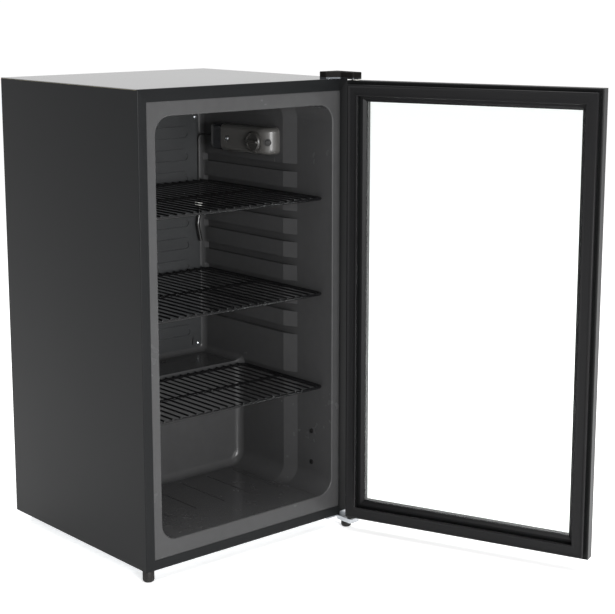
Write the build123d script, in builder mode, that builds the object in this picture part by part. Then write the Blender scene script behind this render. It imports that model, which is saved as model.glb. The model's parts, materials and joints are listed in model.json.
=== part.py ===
from build123d import *
import math
import os

# Glass door merchandiser: a compact upright drinks cooler with one framed glass door.
# Millimetres. X to the right, Y to the back, Z up. The origin is on the floor, under the middle
# of the cabinet body. The door is modelled standing open, where its hinge joint is at zero.

os.makedirs("parts", exist_ok=True)

# ---------------------------------------------------------------- driving dimensions
BODY_W = 450.0
BODY_D = 416.0
BODY_H = 800.0
FOOT_H = 20.0
SHEET = 1.0
FRONT = -BODY_D / 2
BACK = BODY_D / 2
SIDE = BODY_W / 2
BOTTOM = FOOT_H
TOP = FOOT_H + BODY_H
STEEL_SIDE = 17.4
STEEL_TOP = 21.0
STEEL_BOTTOM = 17.0
DECK_T = 1.2

# storage compartment
MOUTH_X = 190.0
REAR_X = 180.0
FLOOR_Z = BOTTOM + 45.5
CEILING_Z = BOTTOM + 755.0
CORNER_R = 30.0
STEP_FRONT = -112.0
STEP_BACK = -84.0
LINER_BACK = 160.0
LINER_T = 2.5
LINER_CORNER_R = 14.0
FLANGE_T = 2.5
HUMP_FRONT = 48.0
HUMP_TOP = BOTTOM + 250.0
HUMP_EDGE_R = 8.0
GROOVE_H = 14.5
GROOVE_PITCH = 43.1
GROOVE_TOP = BOTTOM + 628.0
GROOVE_LEVELS = (0, 1, 2, 3, 4, 5, 6, 7, 9)
GROOVE_BACK = 152.0
FLOOR_RIBS_X = (-109.0, -47.0, 15.0, 77.0, 139.0)
PLUG_Z = (BOTTOM + 91.5, BOTTOM + 151.0)
PLUG_Y = -152.0
PLUG_R = 4.5

# machine space behind and under the hump
INSULATION = 34.0
BULKHEAD_Y = HUMP_FRONT + LINER_T + INSULATION
BULKHEAD_Z = HUMP_TOP - LINER_T - INSULATION
DECK_TOP = BOTTOM + DECK_T

# shelves
SHELF_X = 188.0
SHELF_FRONT = -190.0
SHELF_RIM_R = 2.5
SHELF_WIRE_R = 1.6
SHELF_GAPS = 22
SHELF_LEVELS = {"shelf_top": (1, 150.0), "shelf_middle": (5, 150.0), "shelf_bottom": (9, 42.0)}

# controls on the right wall
BOX_DEPTH = 30.0
BOX_FACE = REAR_X - BOX_DEPTH
BOX_FRONT = -75.0
BOX_SPLIT = 60.0
BOX_BACK = 106.0
BOX_LOW = BOTTOM + 657.0
BOX_HIGH = BOTTOM + 706.0
BOX_NOSE_R = 25.0
BOX_EDGE_R = 9.0
BOX_WALL = 3.4
KNOB_Y = -38.0
KNOB_Z = BOTTOM + 680.0
KNOB_R = 19.0
KNOB_T = 9.0
SPINDLE_R = 3.0
SWITCH_R = 6.0

# hinges and door
HINGE_X = 219.3
HINGE_Y = -235.2
OPEN_ANGLE = 110.9
PIN_R = 3.2
BUSH_CLEARANCE = 0.05
DOOR_W = 459.0
DOOR_H = 796.0
DOOR_T = 22.0
DOOR_BOTTOM = BOTTOM + 2.0
MEMBER_W = 36.0
REBATE_W = 27.0
LIP_T = 4.0
PANE_T = 3.2
UNIT_T = 12.0
HINGE_S = 11.0
HINGE_T = 8.9
CHAMBER = (4.0, 15.0)
DART = (12.0, 17.0)
DART_DEPTH = 4.5
GASKET_OUT = 6.0
GASKET_IN = 26.0
GASKET_PROUD = 13.3
MAGNET_TUBE = (15.4, 24.0)
MAGNET_LOW = 6.0
MAGNET_T = 5.2
MAGNET_GAP = 0.4
BEAD_SLOPE = 5.0
BRACKET_T = 2.5

# condenser
COIL_Y = BACK + 14.0
COIL_R = 2.5
COIL_X = 180.0
COIL_LOW = BOTTOM + 262.0
COIL_PITCH = 52.0
COIL_RUNS = 10
COIL_WIRE_R = 0.8
COIL_WIRES = 24


def span_box(x, y, z, mode=Mode.ADD):
    """Add or cut the box that spans three (low, high) pairs in the part being built."""
    middle = [(low + high) / 2 for low, high in (x, y, z)]
    with Locations(tuple(middle)):
        Box(x[1] - x[0], y[1] - y[0], z[1] - z[0], mode=mode)


def drill(x, y, z, radius):
    """Cut a vertical round hole over the span z from the part being built."""
    with Locations((x, y, (z[0] + z[1]) / 2)):
        Cylinder(radius, z[1] - z[0], mode=Mode.SUBTRACT)


# ---------------------------------------------------------------- cabinet shell
# The wrapper is one sheet folded down both sides, with returns round the front.
with BuildPart() as outer_wrapper:
    span_box((-SIDE, SIDE), (FRONT, BACK), (BOTTOM, TOP))
    fillet(outer_wrapper.edges().filter_by(Axis.Z).group_by(Axis.Y)[0], radius=1.6)
    inside_x = SIDE - SHEET
    span_box((-inside_x, inside_x), (FRONT + SHEET, BACK), (BOTTOM, TOP - SHEET), Mode.SUBTRACT)
    gap_x = SIDE - STEEL_SIDE
    span_box((-gap_x, gap_x), (FRONT, FRONT + SHEET), (BOTTOM, TOP - STEEL_TOP), Mode.SUBTRACT)
    # the folded corners meet in a mitre that stays open by half a millimetre
    for hand in (-1, 1):
        with BuildSketch(Plane.XZ.offset(-FRONT)) as mitre:
            with BuildLine():
                Polyline(
                    (hand * SIDE, TOP - 1.7),
                    (hand * gap_x, TOP - STEEL_TOP - 0.25),
                    (hand * gap_x, TOP - STEEL_TOP + 0.25),
                    (hand * SIDE, TOP - 1.2),
                    close=True,
                )
            make_face()
        extrude(amount=-SHEET, mode=Mode.SUBTRACT)
    screw_spots = [(190.0, -188.0), (214.0, -188.0), (202.0, -199.0)]
    for spot_x, spot_y in screw_spots:
        drill(spot_x, spot_y, (TOP - 2, TOP + 1), 2.2)
outer_wrapper.part.label = "outer_wrapper"
export_step(outer_wrapper.part, "parts/outer_wrapper.step")

with BuildPart() as bottom_front_rail:
    span_box((-gap_x, gap_x), (FRONT, FRONT + SHEET), (BOTTOM, BOTTOM + STEEL_BOTTOM))
    span_box((-gap_x, gap_x), (FRONT, FRONT + 16), (BOTTOM, BOTTOM + SHEET))
bottom_front_rail.part.label = "bottom_front_rail"
export_step(bottom_front_rail.part, "parts/bottom_front_rail.step")

with BuildPart() as back_panel:
    span_box((-inside_x, inside_x), (BACK - SHEET, BACK), (BULKHEAD_Z, TOP - SHEET))
    # two shallow pressed panels stiffen the sheet
    for hand in (-1, 1):
        with BuildSketch(Plane.XZ.offset(-BACK)) as pressing:
            with Locations((hand * 108, (BULKHEAD_Z + TOP) / 2)):
                RectangleRounded(170, 480, 18)
        extrude(amount=-0.4, mode=Mode.SUBTRACT)
back_panel.part.label = "back_panel"
export_step(back_panel.part, "parts/back_panel.step")

LEFT_FOOT = (-213.5, -196.5)
RIGHT_FOOT = (214.5, -220.5)
REAR_FEET = ((-165.0, 180.0), (165.0, 180.0))
COMPRESSOR = (45.0, 148.0)
GROMMETS = [(COMPRESSOR[0] + dx, COMPRESSOR[1] + dy) for dx in (-62, 62) for dy in (-34, 34)]
STUD_R = 4.0
DRAIN = (60.0, 128.0)
SUCTION = (130.0, 118.0)

with BuildPart() as base_plate:
    span_box((-inside_x, inside_x), (FRONT + 16, BACK - 2.5), (BOTTOM, DECK_TOP))
    # a tab at the left front corner carries the levelling foot
    span_box((-inside_x, -gap_x - 0.6), (FRONT + SHEET, FRONT + 16), (BOTTOM, DECK_TOP))
    drill(LEFT_FOOT[0], LEFT_FOOT[1], (BOTTOM - 1, DECK_TOP + 1), STUD_R + 0.6)
    for spot_x, spot_y in GROMMETS:
        drill(spot_x, spot_y, (BOTTOM - 1, DECK_TOP + 1), 3.2)
base_plate.part.label = "base_plate"
export_step(base_plate.part, "parts/base_plate.step")

with BuildPart() as machine_bulkhead:
    span_box((-inside_x, inside_x), (BULKHEAD_Y, BULKHEAD_Y + SHEET), (DECK_TOP, BULKHEAD_Z))
    span_box((-inside_x, inside_x), (BULKHEAD_Y, BACK - SHEET), (BULKHEAD_Z - SHEET, BULKHEAD_Z))
    drill(DRAIN[0], DRAIN[1], (BULKHEAD_Z - 2, BULKHEAD_Z + 1), 6.0)
    drill(SUCTION[0], SUCTION[1], (BULKHEAD_Z - 2, BULKHEAD_Z + 1), 4.2)
machine_bulkhead.part.label = "machine_bulkhead"
export_step(machine_bulkhead.part, "parts/machine_bulkhead.step")

GLAND = (-150.0, BOTTOM + 16.0)
with BuildPart() as rear_crossbar:
    span_box((-inside_x, inside_x), (BACK - 2.5, BACK - 1), (BOTTOM, BOTTOM + 32))
    with Locations(Location((GLAND[0], BACK - 1.75, GLAND[1]), (90, 0, 0))):
        Cylinder(8.0, 6, mode=Mode.SUBTRACT)
rear_crossbar.part.label = "rear_crossbar"
export_step(rear_crossbar.part, "parts/rear_crossbar.step")

# ---------------------------------------------------------------- liner
# The hollow is drawn first: a mouth, a step in to the shelf zone, and a high rear part
# over the hump. The liner is what is left of a close-fitting block round it.
mouth_h = CEILING_Z - FLOOR_Z
mouth_z = (CEILING_Z + FLOOR_Z) / 2
with BuildPart() as hollow:
    with BuildSketch(Plane.XZ.offset(-FRONT + 1)) as mouth_section:
        with Locations((0, mouth_z)):
            RectangleRounded(2 * MOUTH_X, mouth_h, CORNER_R)
    extrude(amount=-(STEP_FRONT - FRONT + 1))
    with BuildSketch(Plane.XZ.offset(-STEP_FRONT)) as step_start:
        with Locations((0, mouth_z)):
            RectangleRounded(2 * MOUTH_X, mouth_h, CORNER_R)
    with BuildSketch(Plane.XZ.offset(-STEP_BACK)) as step_end:
        with Locations((0, mouth_z)):
            RectangleRounded(2 * REAR_X, mouth_h, CORNER_R)
    loft()
    with BuildSketch(Plane.XZ.offset(-STEP_BACK)) as low_section:
        with Locations((0, mouth_z)):
            RectangleRounded(2 * REAR_X, mouth_h, CORNER_R)
    extrude(amount=-(HUMP_FRONT - STEP_BACK))
    rear_face = hollow.faces().sort_by(Axis.Y)[-1]
    fillet(rear_face.edges(), radius=LINER_CORNER_R)

with BuildPart() as upper_hollow:
    with BuildSketch(Plane.XZ.offset(20)) as high_section:
        with Locations((0, (CEILING_Z + HUMP_TOP) / 2)):
            Rectangle(2 * REAR_X, CEILING_Z - HUMP_TOP)
        fillet(high_section.vertices().group_by(Axis.Y)[-1], radius=CORNER_R)
        fillet(high_section.vertices().group_by(Axis.Y)[0], radius=LINER_CORNER_R)
    extrude(amount=-(LINER_BACK + 20))
    rear_face = upper_hollow.faces().sort_by(Axis.Y)[-1]
    fillet(rear_face.edges(), radius=LINER_CORNER_R)

liner_outer_x = MOUTH_X + LINER_T
with BuildPart() as inner_liner:
    span_box(
        (-liner_outer_x, liner_outer_x),
        (FRONT + SHEET, HUMP_FRONT + LINER_T),
        (FLOOR_Z - LINER_T, CEILING_Z + LINER_T),
    )
    span_box(
        (-liner_outer_x, liner_outer_x),
        (0, LINER_BACK + LINER_T),
        (HUMP_TOP - LINER_T, CEILING_Z + LINER_T),
    )
    span_box(
        (-SIDE + 11, SIDE - 11),
        (FRONT + SHEET, FRONT + SHEET + FLANGE_T),
        (BOTTOM + 11, TOP - 15),
    )
    add(hollow.part, mode=Mode.SUBTRACT)
    add(upper_hollow.part, mode=Mode.SUBTRACT)
    lip = inner_liner.faces().sort_by(Axis.Y)[0].inner_wires()[0]
    fillet(lip.edges(), radius=2.0)
    # shelf grooves along both walls, open at the step
    for level in GROOVE_LEVELS:
        ledge = GROOVE_TOP - level * GROOVE_PITCH
        groove_end = GROOVE_BACK if ledge > HUMP_TOP else HUMP_FRONT - 4
        for hand in (-1, 1):
            wall = sorted((hand * (REAR_X - 4), hand * MOUTH_X))
            span_box(wall, (STEP_FRONT, groove_end), (ledge, ledge + GROOVE_H), Mode.SUBTRACT)
    # drain grooves pressed into the floor, a drain hole in the hump and two pin holes a side
    for rib_x in FLOOR_RIBS_X:
        span_box((rib_x - 1.5, rib_x + 1.5), (-112, 22), (FLOOR_Z - 1, FLOOR_Z + 1), Mode.SUBTRACT)
    drill(DRAIN[0], DRAIN[1], (HUMP_TOP - 4, HUMP_TOP + 1), 5.05)
    for hole_z in PLUG_Z:
        with Locations(Location((MOUTH_X + 1, PLUG_Y, hole_z), (0, 90, 0))):
            Cylinder(3.0, 6, mode=Mode.SUBTRACT)
inner_liner.part.label = "inner_liner"
export_step(inner_liner.part, "parts/inner_liner.step")

with BuildPart() as liner_plugs:
    for hole_z in PLUG_Z:
        with Locations(Location((MOUTH_X, PLUG_Y, hole_z), (0, 90, 0))):
            Cylinder(2.9, 2.4, align=(Align.CENTER, Align.CENTER, Align.MIN))
            Cylinder(PLUG_R, 1.2, align=(Align.CENTER, Align.CENTER, Align.MAX))
liner_plugs.part.label = "liner_plugs"
export_step(liner_plugs.part, "parts/liner_plugs.step")

# The foam fills what is left between wrapper and liner.
with BuildPart() as insulation_foam:
    foam_x = inside_x - 0.2
    foam_front = FRONT + SHEET + FLANGE_T
    span_box((-foam_x, foam_x), (foam_front, BACK - SHEET), (DECK_TOP, TOP - SHEET - 0.2))
    span_box(
        (-liner_outer_x, liner_outer_x),
        (foam_front, HUMP_FRONT + LINER_T),
        (FLOOR_Z - LINER_T, CEILING_Z + LINER_T),
        Mode.SUBTRACT,
    )
    span_box(
        (-liner_outer_x, liner_outer_x),
        (0, LINER_BACK + LINER_T),
        (HUMP_TOP - LINER_T, CEILING_Z + LINER_T),
        Mode.SUBTRACT,
    )
    span_box((-SIDE, SIDE), (BULKHEAD_Y, BACK), (DECK_TOP, BULKHEAD_Z), Mode.SUBTRACT)
    span_box((-SIDE, SIDE), (foam_front, FRONT + 16), (DECK_TOP, DECK_TOP + 1), Mode.SUBTRACT)
    drill(LEFT_FOOT[0], LEFT_FOOT[1], (DECK_TOP - 1, DECK_TOP + 26), 9.2)
    for spot_x, spot_y in screw_spots:
        drill(spot_x, spot_y, (TOP - 14, TOP), 2.4)
    drill(DRAIN[0], DRAIN[1], (BULKHEAD_Z - 1, HUMP_TOP), 5.2)
    drill(SUCTION[0], SUCTION[1], (BULKHEAD_Z - 1, BULKHEAD_Z + 8), 4.2)
    for hole_z in PLUG_Z:
        with Locations(Location((MOUTH_X + 2, PLUG_Y, hole_z), (0, 90, 0))):
            Cylinder(3.0, 6, mode=Mode.SUBTRACT)
insulation_foam.part.label = "insulation_foam"
export_step(insulation_foam.part, "parts/insulation_foam.step")

# ---------------------------------------------------------------- evaporator and its sensor
PLATE_BACK = LINER_BACK - 2.0
PLATE_FRONT = PLATE_BACK - 1.5
PLATE_X = 172.0
PLATE_LOW = HUMP_TOP + 9.0
PLATE_HIGH = BOTTOM + 720.0
CHANNEL_PITCH = 21.5
CHANNEL_RUNS = 20
CHANNEL_X = 136.0
PLATE_SCREWS = [(hand * 163.0, z) for hand in (-1, 1) for z in (PLATE_LOW + 8, PLATE_HIGH - 8)]

with BuildPart() as evaporator_plate:
    with BuildSketch(Plane.XZ.offset(-PLATE_BACK)) as plate_outline:
        with Locations((0, (PLATE_LOW + PLATE_HIGH) / 2)):
            RectangleRounded(2 * PLATE_X, PLATE_HIGH - PLATE_LOW, 6)
        with Locations((149.0, BOTTOM + 277.5)):
            Circle(3.6, mode=Mode.SUBTRACT)
        with Locations((149.0, BOTTOM + 271.5)):
            SlotOverall(15.0, 3.8, rotation=90, mode=Mode.SUBTRACT)
        with Locations(*PLATE_SCREWS):
            Circle(2.3, mode=Mode.SUBTRACT)
    extrude(amount=PLATE_BACK - PLATE_FRONT)
    # the inflated channel winds up the plate in level runs joined by round turns
    with BuildSketch(Plane.XZ.offset(-PLATE_FRONT)) as channel:
        channel_low = PLATE_LOW + 24.0
        for run in range(CHANNEL_RUNS):
            run_z = channel_low + run * CHANNEL_PITCH
            with Locations((0, run_z)):
                Rectangle(2 * CHANNEL_X, 7.0)
            if run < CHANNEL_RUNS - 1:
                hand = 1 if run % 2 == 0 else -1
                with Locations((hand * CHANNEL_X, run_z + CHANNEL_PITCH / 2)):
                    Circle(CHANNEL_PITCH / 2 + 3.5)
                    Circle(CHANNEL_PITCH / 2 - 3.5, mode=Mode.SUBTRACT)
        for run in range(CHANNEL_RUNS - 1):
            hand = 1 if run % 2 == 0 else -1
            gap_z = channel_low + (run + 0.5) * CHANNEL_PITCH
            with Locations((hand * (CHANNEL_X - 20), gap_z)):
                Rectangle(40.0, CHANNEL_PITCH - 7.0, mode=Mode.SUBTRACT)
    extrude(amount=1.8)
evaporator_plate.part.label = "evaporator_plate"
export_step(evaporator_plate.part, "parts/evaporator_plate.step")

with BuildPart() as evaporator_screws:
    for screw_x, screw_z in PLATE_SCREWS:
        with Locations(Location((screw_x, LINER_BACK, screw_z), (90, 0, 0))):
            Cylinder(2.0, 4.0, align=(Align.CENTER, Align.CENTER, Align.MIN))
        with Locations(Location((screw_x, PLATE_FRONT, screw_z), (90, 0, 0))):
            Cylinder(4.2, 2.4, align=(Align.CENTER, Align.CENTER, Align.MIN))
    fillet(evaporator_screws.edges().group_by(Axis.Y)[0], radius=1.4)
evaporator_screws.part.label = "evaporator_screws"
export_step(evaporator_screws.part, "parts/evaporator_screws.step")

BULB_X = 166.0
BULB_Y = PLATE_FRONT - 6.5
BULB_TOP = BOTTOM + 550.0
with BuildPart() as sensor_bulb:
    with BuildLine() as bulb_path:
        FilletPolyline(
            (BULB_X, BULB_Y, BULB_TOP),
            (BULB_X, BULB_Y, BULB_TOP - 22),
            (BULB_X - 5, BULB_Y - 1, BULB_TOP - 46),
            (BULB_X + 2, BULB_Y - 1, BULB_TOP - 78),
            radius=18,
        )
    with BuildSketch(Plane(origin=bulb_path.line @ 0, z_dir=bulb_path.line % 0)):
        Circle(3.6)
    sweep()
sensor_bulb.part.label = "sensor_bulb"
export_step(sensor_bulb.part, "parts/sensor_bulb.step")

# The capillary leaves the end of the housing and drops behind the shelves to the bulb.
CAPILLARY_Y = PLATE_FRONT - 2.9
with BuildPart() as capillary_tube:
    with BuildLine() as capillary_path:
        FilletPolyline(
            (BULB_X + 2, 105.6, BOTTOM + 680),
            (BULB_X + 2, CAPILLARY_Y, BOTTOM + 680),
            (BULB_X + 2, CAPILLARY_Y, BULB_TOP + 24),
            (BULB_X, BULB_Y, BULB_TOP + 0.3),
            radius=12,
        )
    with BuildSketch(Plane(origin=capillary_path.line @ 0, z_dir=capillary_path.line % 0)):
        Circle(1.3)
    sweep()
capillary_tube.part.label = "capillary_tube"
export_step(capillary_tube.part, "parts/capillary_tube.step")

with BuildPart() as bulb_clip:
    clip_z = (BULB_TOP - 9.0, BULB_TOP - 2.0)
    span_box((BULB_X - 5.2, BULB_X + 5.2), (BULB_Y - 5.2, PLATE_FRONT), clip_z)
    fillet(bulb_clip.edges().filter_by(Axis.Z).group_by(Axis.Y)[0], radius=3)
    drill(BULB_X, BULB_Y, (BULB_TOP - 10, BULB_TOP), 3.75)
bulb_clip.part.label = "bulb_clip"
export_step(bulb_clip.part, "parts/bulb_clip.step")

# ---------------------------------------------------------------- control housing and lamp
def nose_outline(inset):
    """Give the plan outline of the control housing, standing on the wall, inset all round."""
    face = BOX_FACE + inset
    nose = BOX_NOSE_R - inset
    front = BOX_FRONT + inset
    back = BOX_BACK - inset
    with BuildSketch() as outline:
        with Locations(((face + REAR_X) / 2, (front + back) / 2)):
            Rectangle(REAR_X - face, back - front)
        fillet(outline.vertices().group_by(Axis.X)[0], radius=nose)
    return outline.sketch


SWITCH_PLANE = Plane(
    origin=(
        BOX_FACE + BOX_NOSE_R * (1 - math.cos(math.radians(45))),
        BOX_FRONT + BOX_NOSE_R * (1 - math.sin(math.radians(45))),
        KNOB_Z,
    ),
    x_dir=(0, 0, 1),
    z_dir=(-1, -1, 0),
)

with BuildPart() as control_shell:
    with BuildSketch(Plane.XY.offset(BOX_LOW)):
        add(nose_outline(0))
    extrude(amount=BOX_HIGH - BOX_LOW)
    top_edges = control_shell.faces().sort_by(Axis.Z)[-1].edges().filter_by(
        lambda edge: edge.center().X < REAR_X - 1
    )
    bottom_edges = control_shell.faces().sort_by(Axis.Z)[0].edges().filter_by(
        lambda edge: edge.center().X < REAR_X - 1
    )
    fillet(top_edges + bottom_edges, radius=BOX_EDGE_R)
    with BuildSketch(Plane.XY.offset(BOX_LOW + BOX_WALL)):
        add(nose_outline(BOX_WALL))
    extrude(amount=BOX_HIGH - BOX_LOW - 2 * BOX_WALL, mode=Mode.SUBTRACT)

# One shell outline, parted in two: the housing in front and the lamp lens behind it.
box_x = (BOX_FACE - 5, REAR_X + 5)
box_z = (BOX_LOW - 5, BOX_HIGH + 5)
with BuildPart() as control_housing:
    add(control_shell.part)
    span_box(box_x, (BOX_SPLIT, BOX_BACK + 5), box_z, Mode.SUBTRACT)
    with Locations(Location((BOX_FACE, KNOB_Y, KNOB_Z), (0, 90, 0))):
        Cylinder(KNOB_R + 0.6, 1.6, mode=Mode.SUBTRACT)
        Cylinder(4.2, 12, mode=Mode.SUBTRACT)
    with Locations(Location((BOX_FACE, 42.0, KNOB_Z), (0, 90, 0))):
        Cylinder(8.0, 2.4, mode=Mode.SUBTRACT)
        Cylinder(2.3, 12, mode=Mode.SUBTRACT)
    with Locations(SWITCH_PLANE.location):
        Cylinder(SWITCH_R + 0.9, 14, mode=Mode.SUBTRACT)
control_housing.part.label = "control_housing"
export_step(control_housing.part, "parts/control_housing.step")

with BuildPart() as lamp_lens:
    add(control_shell.part)
    lens_start = BOX_SPLIT + 0.4
    span_box(box_x, (BOX_FRONT - 5, lens_start), box_z, Mode.SUBTRACT)
    for flute in range(7):
        flute_y = lens_start + 5 + flute * 3.6
        span_box(
            (BOX_FACE - 1, BOX_FACE + 0.5),
            (flute_y, flute_y + 1.4),
            (BOX_LOW + 11, BOX_HIGH - 11),
            Mode.SUBTRACT,
        )
lamp_lens.part.label = "lamp_lens"
export_step(lamp_lens.part, "parts/lamp_lens.step")

with BuildPart() as lamp_board:
    span_box((REAR_X - 5, REAR_X - 3.4), (68, 98), (KNOB_Z - 14, KNOB_Z + 14))
    with Locations((REAR_X - 5.8, 76, KNOB_Z), (REAR_X - 5.8, 90, KNOB_Z)):
        Box(1.6, 5, 5)
lamp_board.part.label = "lamp_board"
export_step(lamp_board.part, "parts/lamp_board.step")

with BuildPart() as housing_screw:
    with Locations(Location((BOX_FACE + 1.2, 42.0, KNOB_Z), (0, 90, 0))):
        Cylinder(4.0, 2.0, align=(Align.CENTER, Align.CENTER, Align.MAX))
    fillet(housing_screw.edges().group_by(Axis.X)[0], radius=1.2)
    with Locations(Location((BOX_FACE + 1.2, 42.0, KNOB_Z), (0, 90, 0))):
        Cylinder(2.0, REAR_X - BOX_FACE - 1.2, align=(Align.CENTER, Align.CENTER, Align.MIN))
    with BuildSketch(Plane.YZ.offset(BOX_FACE - 0.8)) as cross_slot:
        with Locations((42.0, KNOB_Z)):
            Rectangle(4.4, 0.9)
            Rectangle(0.9, 4.4)
    extrude(amount=1.0, mode=Mode.SUBTRACT)
housing_screw.part.label = "housing_screw"
export_step(housing_screw.part, "parts/housing_screw.step")

BODY_FACE = BOX_FACE + 5.0
with BuildPart() as thermostat_body:
    span_box((BODY_FACE, REAR_X - 2), (KNOB_Y - 14, KNOB_Y + 14), (KNOB_Z - 16, KNOB_Z + 16))
    with Locations(Location((BODY_FACE, KNOB_Y, KNOB_Z), (0, 90, 0))):
        Cylinder(SPINDLE_R + BUSH_CLEARANCE, 24, mode=Mode.SUBTRACT)
thermostat_body.part.label = "thermostat_body"
export_step(thermostat_body.part, "parts/thermostat_body.step")

KNOB_BACK = BOX_FACE - 0.3
with BuildPart() as thermostat_spindle:
    with Locations(Location((KNOB_BACK - 5.4, KNOB_Y, KNOB_Z), (0, 90, 0))):
        Cylinder(SPINDLE_R, 15, align=(Align.CENTER, Align.CENTER, Align.MIN))
thermostat_spindle.part.label = "thermostat_spindle"
export_step(thermostat_spindle.part, "parts/thermostat_spindle.step")

# A round skirt with a raised grip bar; the bar runs out to a point that marks the setting.
with BuildPart() as thermostat_knob:
    with BuildSketch(Plane.YZ.offset(KNOB_BACK)) as skirt:
        with Locations((KNOB_Y, KNOB_Z)):
            Circle(KNOB_R)
        with BuildLine():
            Polyline(
                (KNOB_Y + 12, KNOB_Z + 13),
                (KNOB_Y + KNOB_R + 3.5, KNOB_Z),
                (KNOB_Y + 12, KNOB_Z - 13),
                close=True,
            )
        make_face()
    extrude(amount=-3.4)
    with BuildSketch(Plane.YZ.offset(KNOB_BACK - 3.4)) as rim:
        with Locations((KNOB_Y, KNOB_Z)):
            Circle(KNOB_R - 1.5)
            Circle(KNOB_R - 4.0, mode=Mode.SUBTRACT)
    extrude(amount=-1.6)
    with BuildSketch(Plane.YZ.offset(KNOB_BACK - 3.4)) as bar:
        with Locations((KNOB_Y, KNOB_Z)):
            RectangleRounded(2 * KNOB_R - 3.2, 8.0, 3.9)
    extrude(amount=-(KNOB_T - 3.4), taper=6)
    with Locations(Location((KNOB_BACK - 5.4, KNOB_Y, KNOB_Z), (0, 90, 0))):
        Cylinder(SPINDLE_R, 6, align=(Align.CENTER, Align.CENTER, Align.MIN), mode=Mode.SUBTRACT)
thermostat_knob.part.label = "thermostat_knob"
export_step(thermostat_knob.part, "parts/thermostat_knob.step")

with BuildPart(SWITCH_PLANE) as switch_body:
    Cylinder(SWITCH_R + 0.8, 1.4)
    with Locations((0, 0, -4.7)):
        Cylinder(SWITCH_R - 0.4, 8.0)
    with Locations((0, 0, -2.6)):
        Cylinder(SWITCH_R - 1.4, 8.0, mode=Mode.SUBTRACT)
switch_body.part.label = "switch_body"
export_step(switch_body.part, "parts/switch_body.step")

with BuildPart(SWITCH_PLANE) as switch_button:
    with Locations((0, 0, -0.8)):
        Cylinder(SWITCH_R - 1.7, 5.0)
    button_axis = Axis(SWITCH_PLANE.origin, SWITCH_PLANE.z_dir)
    fillet(switch_button.faces().sort_by(button_axis)[-1].edges(), radius=0.8)
switch_button.part.label = "switch_button"
export_step(switch_button.part, "parts/switch_button.step")

# ---------------------------------------------------------------- shelves
rim_x = SHELF_X - SHELF_RIM_R
wire_pitch = 2 * rim_x / SHELF_GAPS
for shelf_name, (level, shelf_back) in SHELF_LEVELS.items():
    rim_z = GROOVE_TOP - level * GROOVE_PITCH + SHELF_RIM_R + 0.4
    wire_z = rim_z + SHELF_RIM_R + SHELF_WIRE_R - 0.8
    front_y = SHELF_FRONT + SHELF_RIM_R
    back_y = shelf_back - SHELF_RIM_R
    middle_y = (front_y + back_y) / 2
    with BuildPart() as wire_shelf:
        with BuildLine() as rim_path:
            FilletPolyline(
                (-rim_x, front_y, rim_z),
                (rim_x, front_y, rim_z),
                (rim_x, back_y, rim_z),
                (-rim_x, back_y, rim_z),
                radius=12,
                close=True,
            )
        with BuildSketch(Plane(origin=rim_path.line @ 0, z_dir=rim_path.line % 0)):
            Circle(SHELF_RIM_R)
        sweep()
        # long wires, welded on top of the rim and of one cross bar
        for count in range(1, SHELF_GAPS):
            with Locations(Location((-rim_x + count * wire_pitch, middle_y, wire_z), (90, 0, 0))):
                Cylinder(SHELF_WIRE_R, back_y - front_y + 2)
        with Locations(Location((0, middle_y + 1, rim_z), (0, 90, 0))):
            Cylinder(SHELF_RIM_R - 0.2, 2 * rim_x)
    wire_shelf.part.label = shelf_name
    export_step(wire_shelf.part, f"parts/{shelf_name}.step")

# ---------------------------------------------------------------- refrigeration
SHELL_R = 52.0
SHELL_LOW = DECK_TOP + 18.0
SHELL_H = 132.0
with BuildPart() as compressor:
    with Locations((COMPRESSOR[0], COMPRESSOR[1], SHELL_LOW)):
        Cylinder(SHELL_R, SHELL_H, align=(Align.CENTER, Align.CENTER, Align.MIN))
    fillet(compressor.edges().filter_by(GeomType.CIRCLE).sort_by(Axis.Z)[-1], radius=40)
    fillet(compressor.edges().filter_by(GeomType.CIRCLE).sort_by(Axis.Z)[0], radius=26)
    with Locations((COMPRESSOR[0], COMPRESSOR[1], SHELL_LOW + 66)):
        Cylinder(SHELL_R + 2.2, 5.0)
    with BuildSketch(Plane.XY.offset(DECK_TOP + 14)) as cradle:
        with Locations(COMPRESSOR):
            RectangleRounded(150, 88, 10)
        with Locations(*GROMMETS):
            Circle(6.2, mode=Mode.SUBTRACT)
    extrude(amount=5.0)
compressor.part.label = "compressor"
export_step(compressor.part, "parts/compressor.step")

with BuildPart() as compressor_mounts:
    for spot_x, spot_y in GROMMETS:
        with Locations((spot_x, spot_y, DECK_TOP)):
            Cylinder(9.0, 13.8, align=(Align.CENTER, Align.CENTER, Align.MIN))
            Cylinder(6.0, 21.0, align=(Align.CENTER, Align.CENTER, Align.MIN))
compressor_mounts.part.label = "compressor_mounts"
export_step(compressor_mounts.part, "parts/compressor_mounts.step")

with BuildPart() as relay_cover:
    relay_x = COMPRESSOR[0] - SHELL_R - 2.6
    span_box((relay_x - 32, relay_x), (COMPRESSOR[1] - 22, COMPRESSOR[1] + 22), (92, 148))
    fillet(relay_cover.edges().filter_by(Axis.Z), radius=4)
    fillet(relay_cover.faces().sort_by(Axis.Z)[-1].edges(), radius=2)
relay_cover.part.label = "relay_cover"
export_step(relay_cover.part, "parts/relay_cover.step")

PAN_LOW = SHELL_LOW + SHELL_H
with BuildPart() as drip_pan:
    span_box((COMPRESSOR[0] - 62, COMPRESSOR[0] + 62), (98, 198), (PAN_LOW, PAN_LOW + 24))
    fillet(drip_pan.edges().filter_by(Axis.Z), radius=12)
    inner = (COMPRESSOR[0] - 60, COMPRESSOR[0] + 60)
    span_box(inner, (100, 196), (PAN_LOW + 2, PAN_LOW + 25), Mode.SUBTRACT)
drip_pan.part.label = "drip_pan"
export_step(drip_pan.part, "parts/drip_pan.step")

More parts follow.
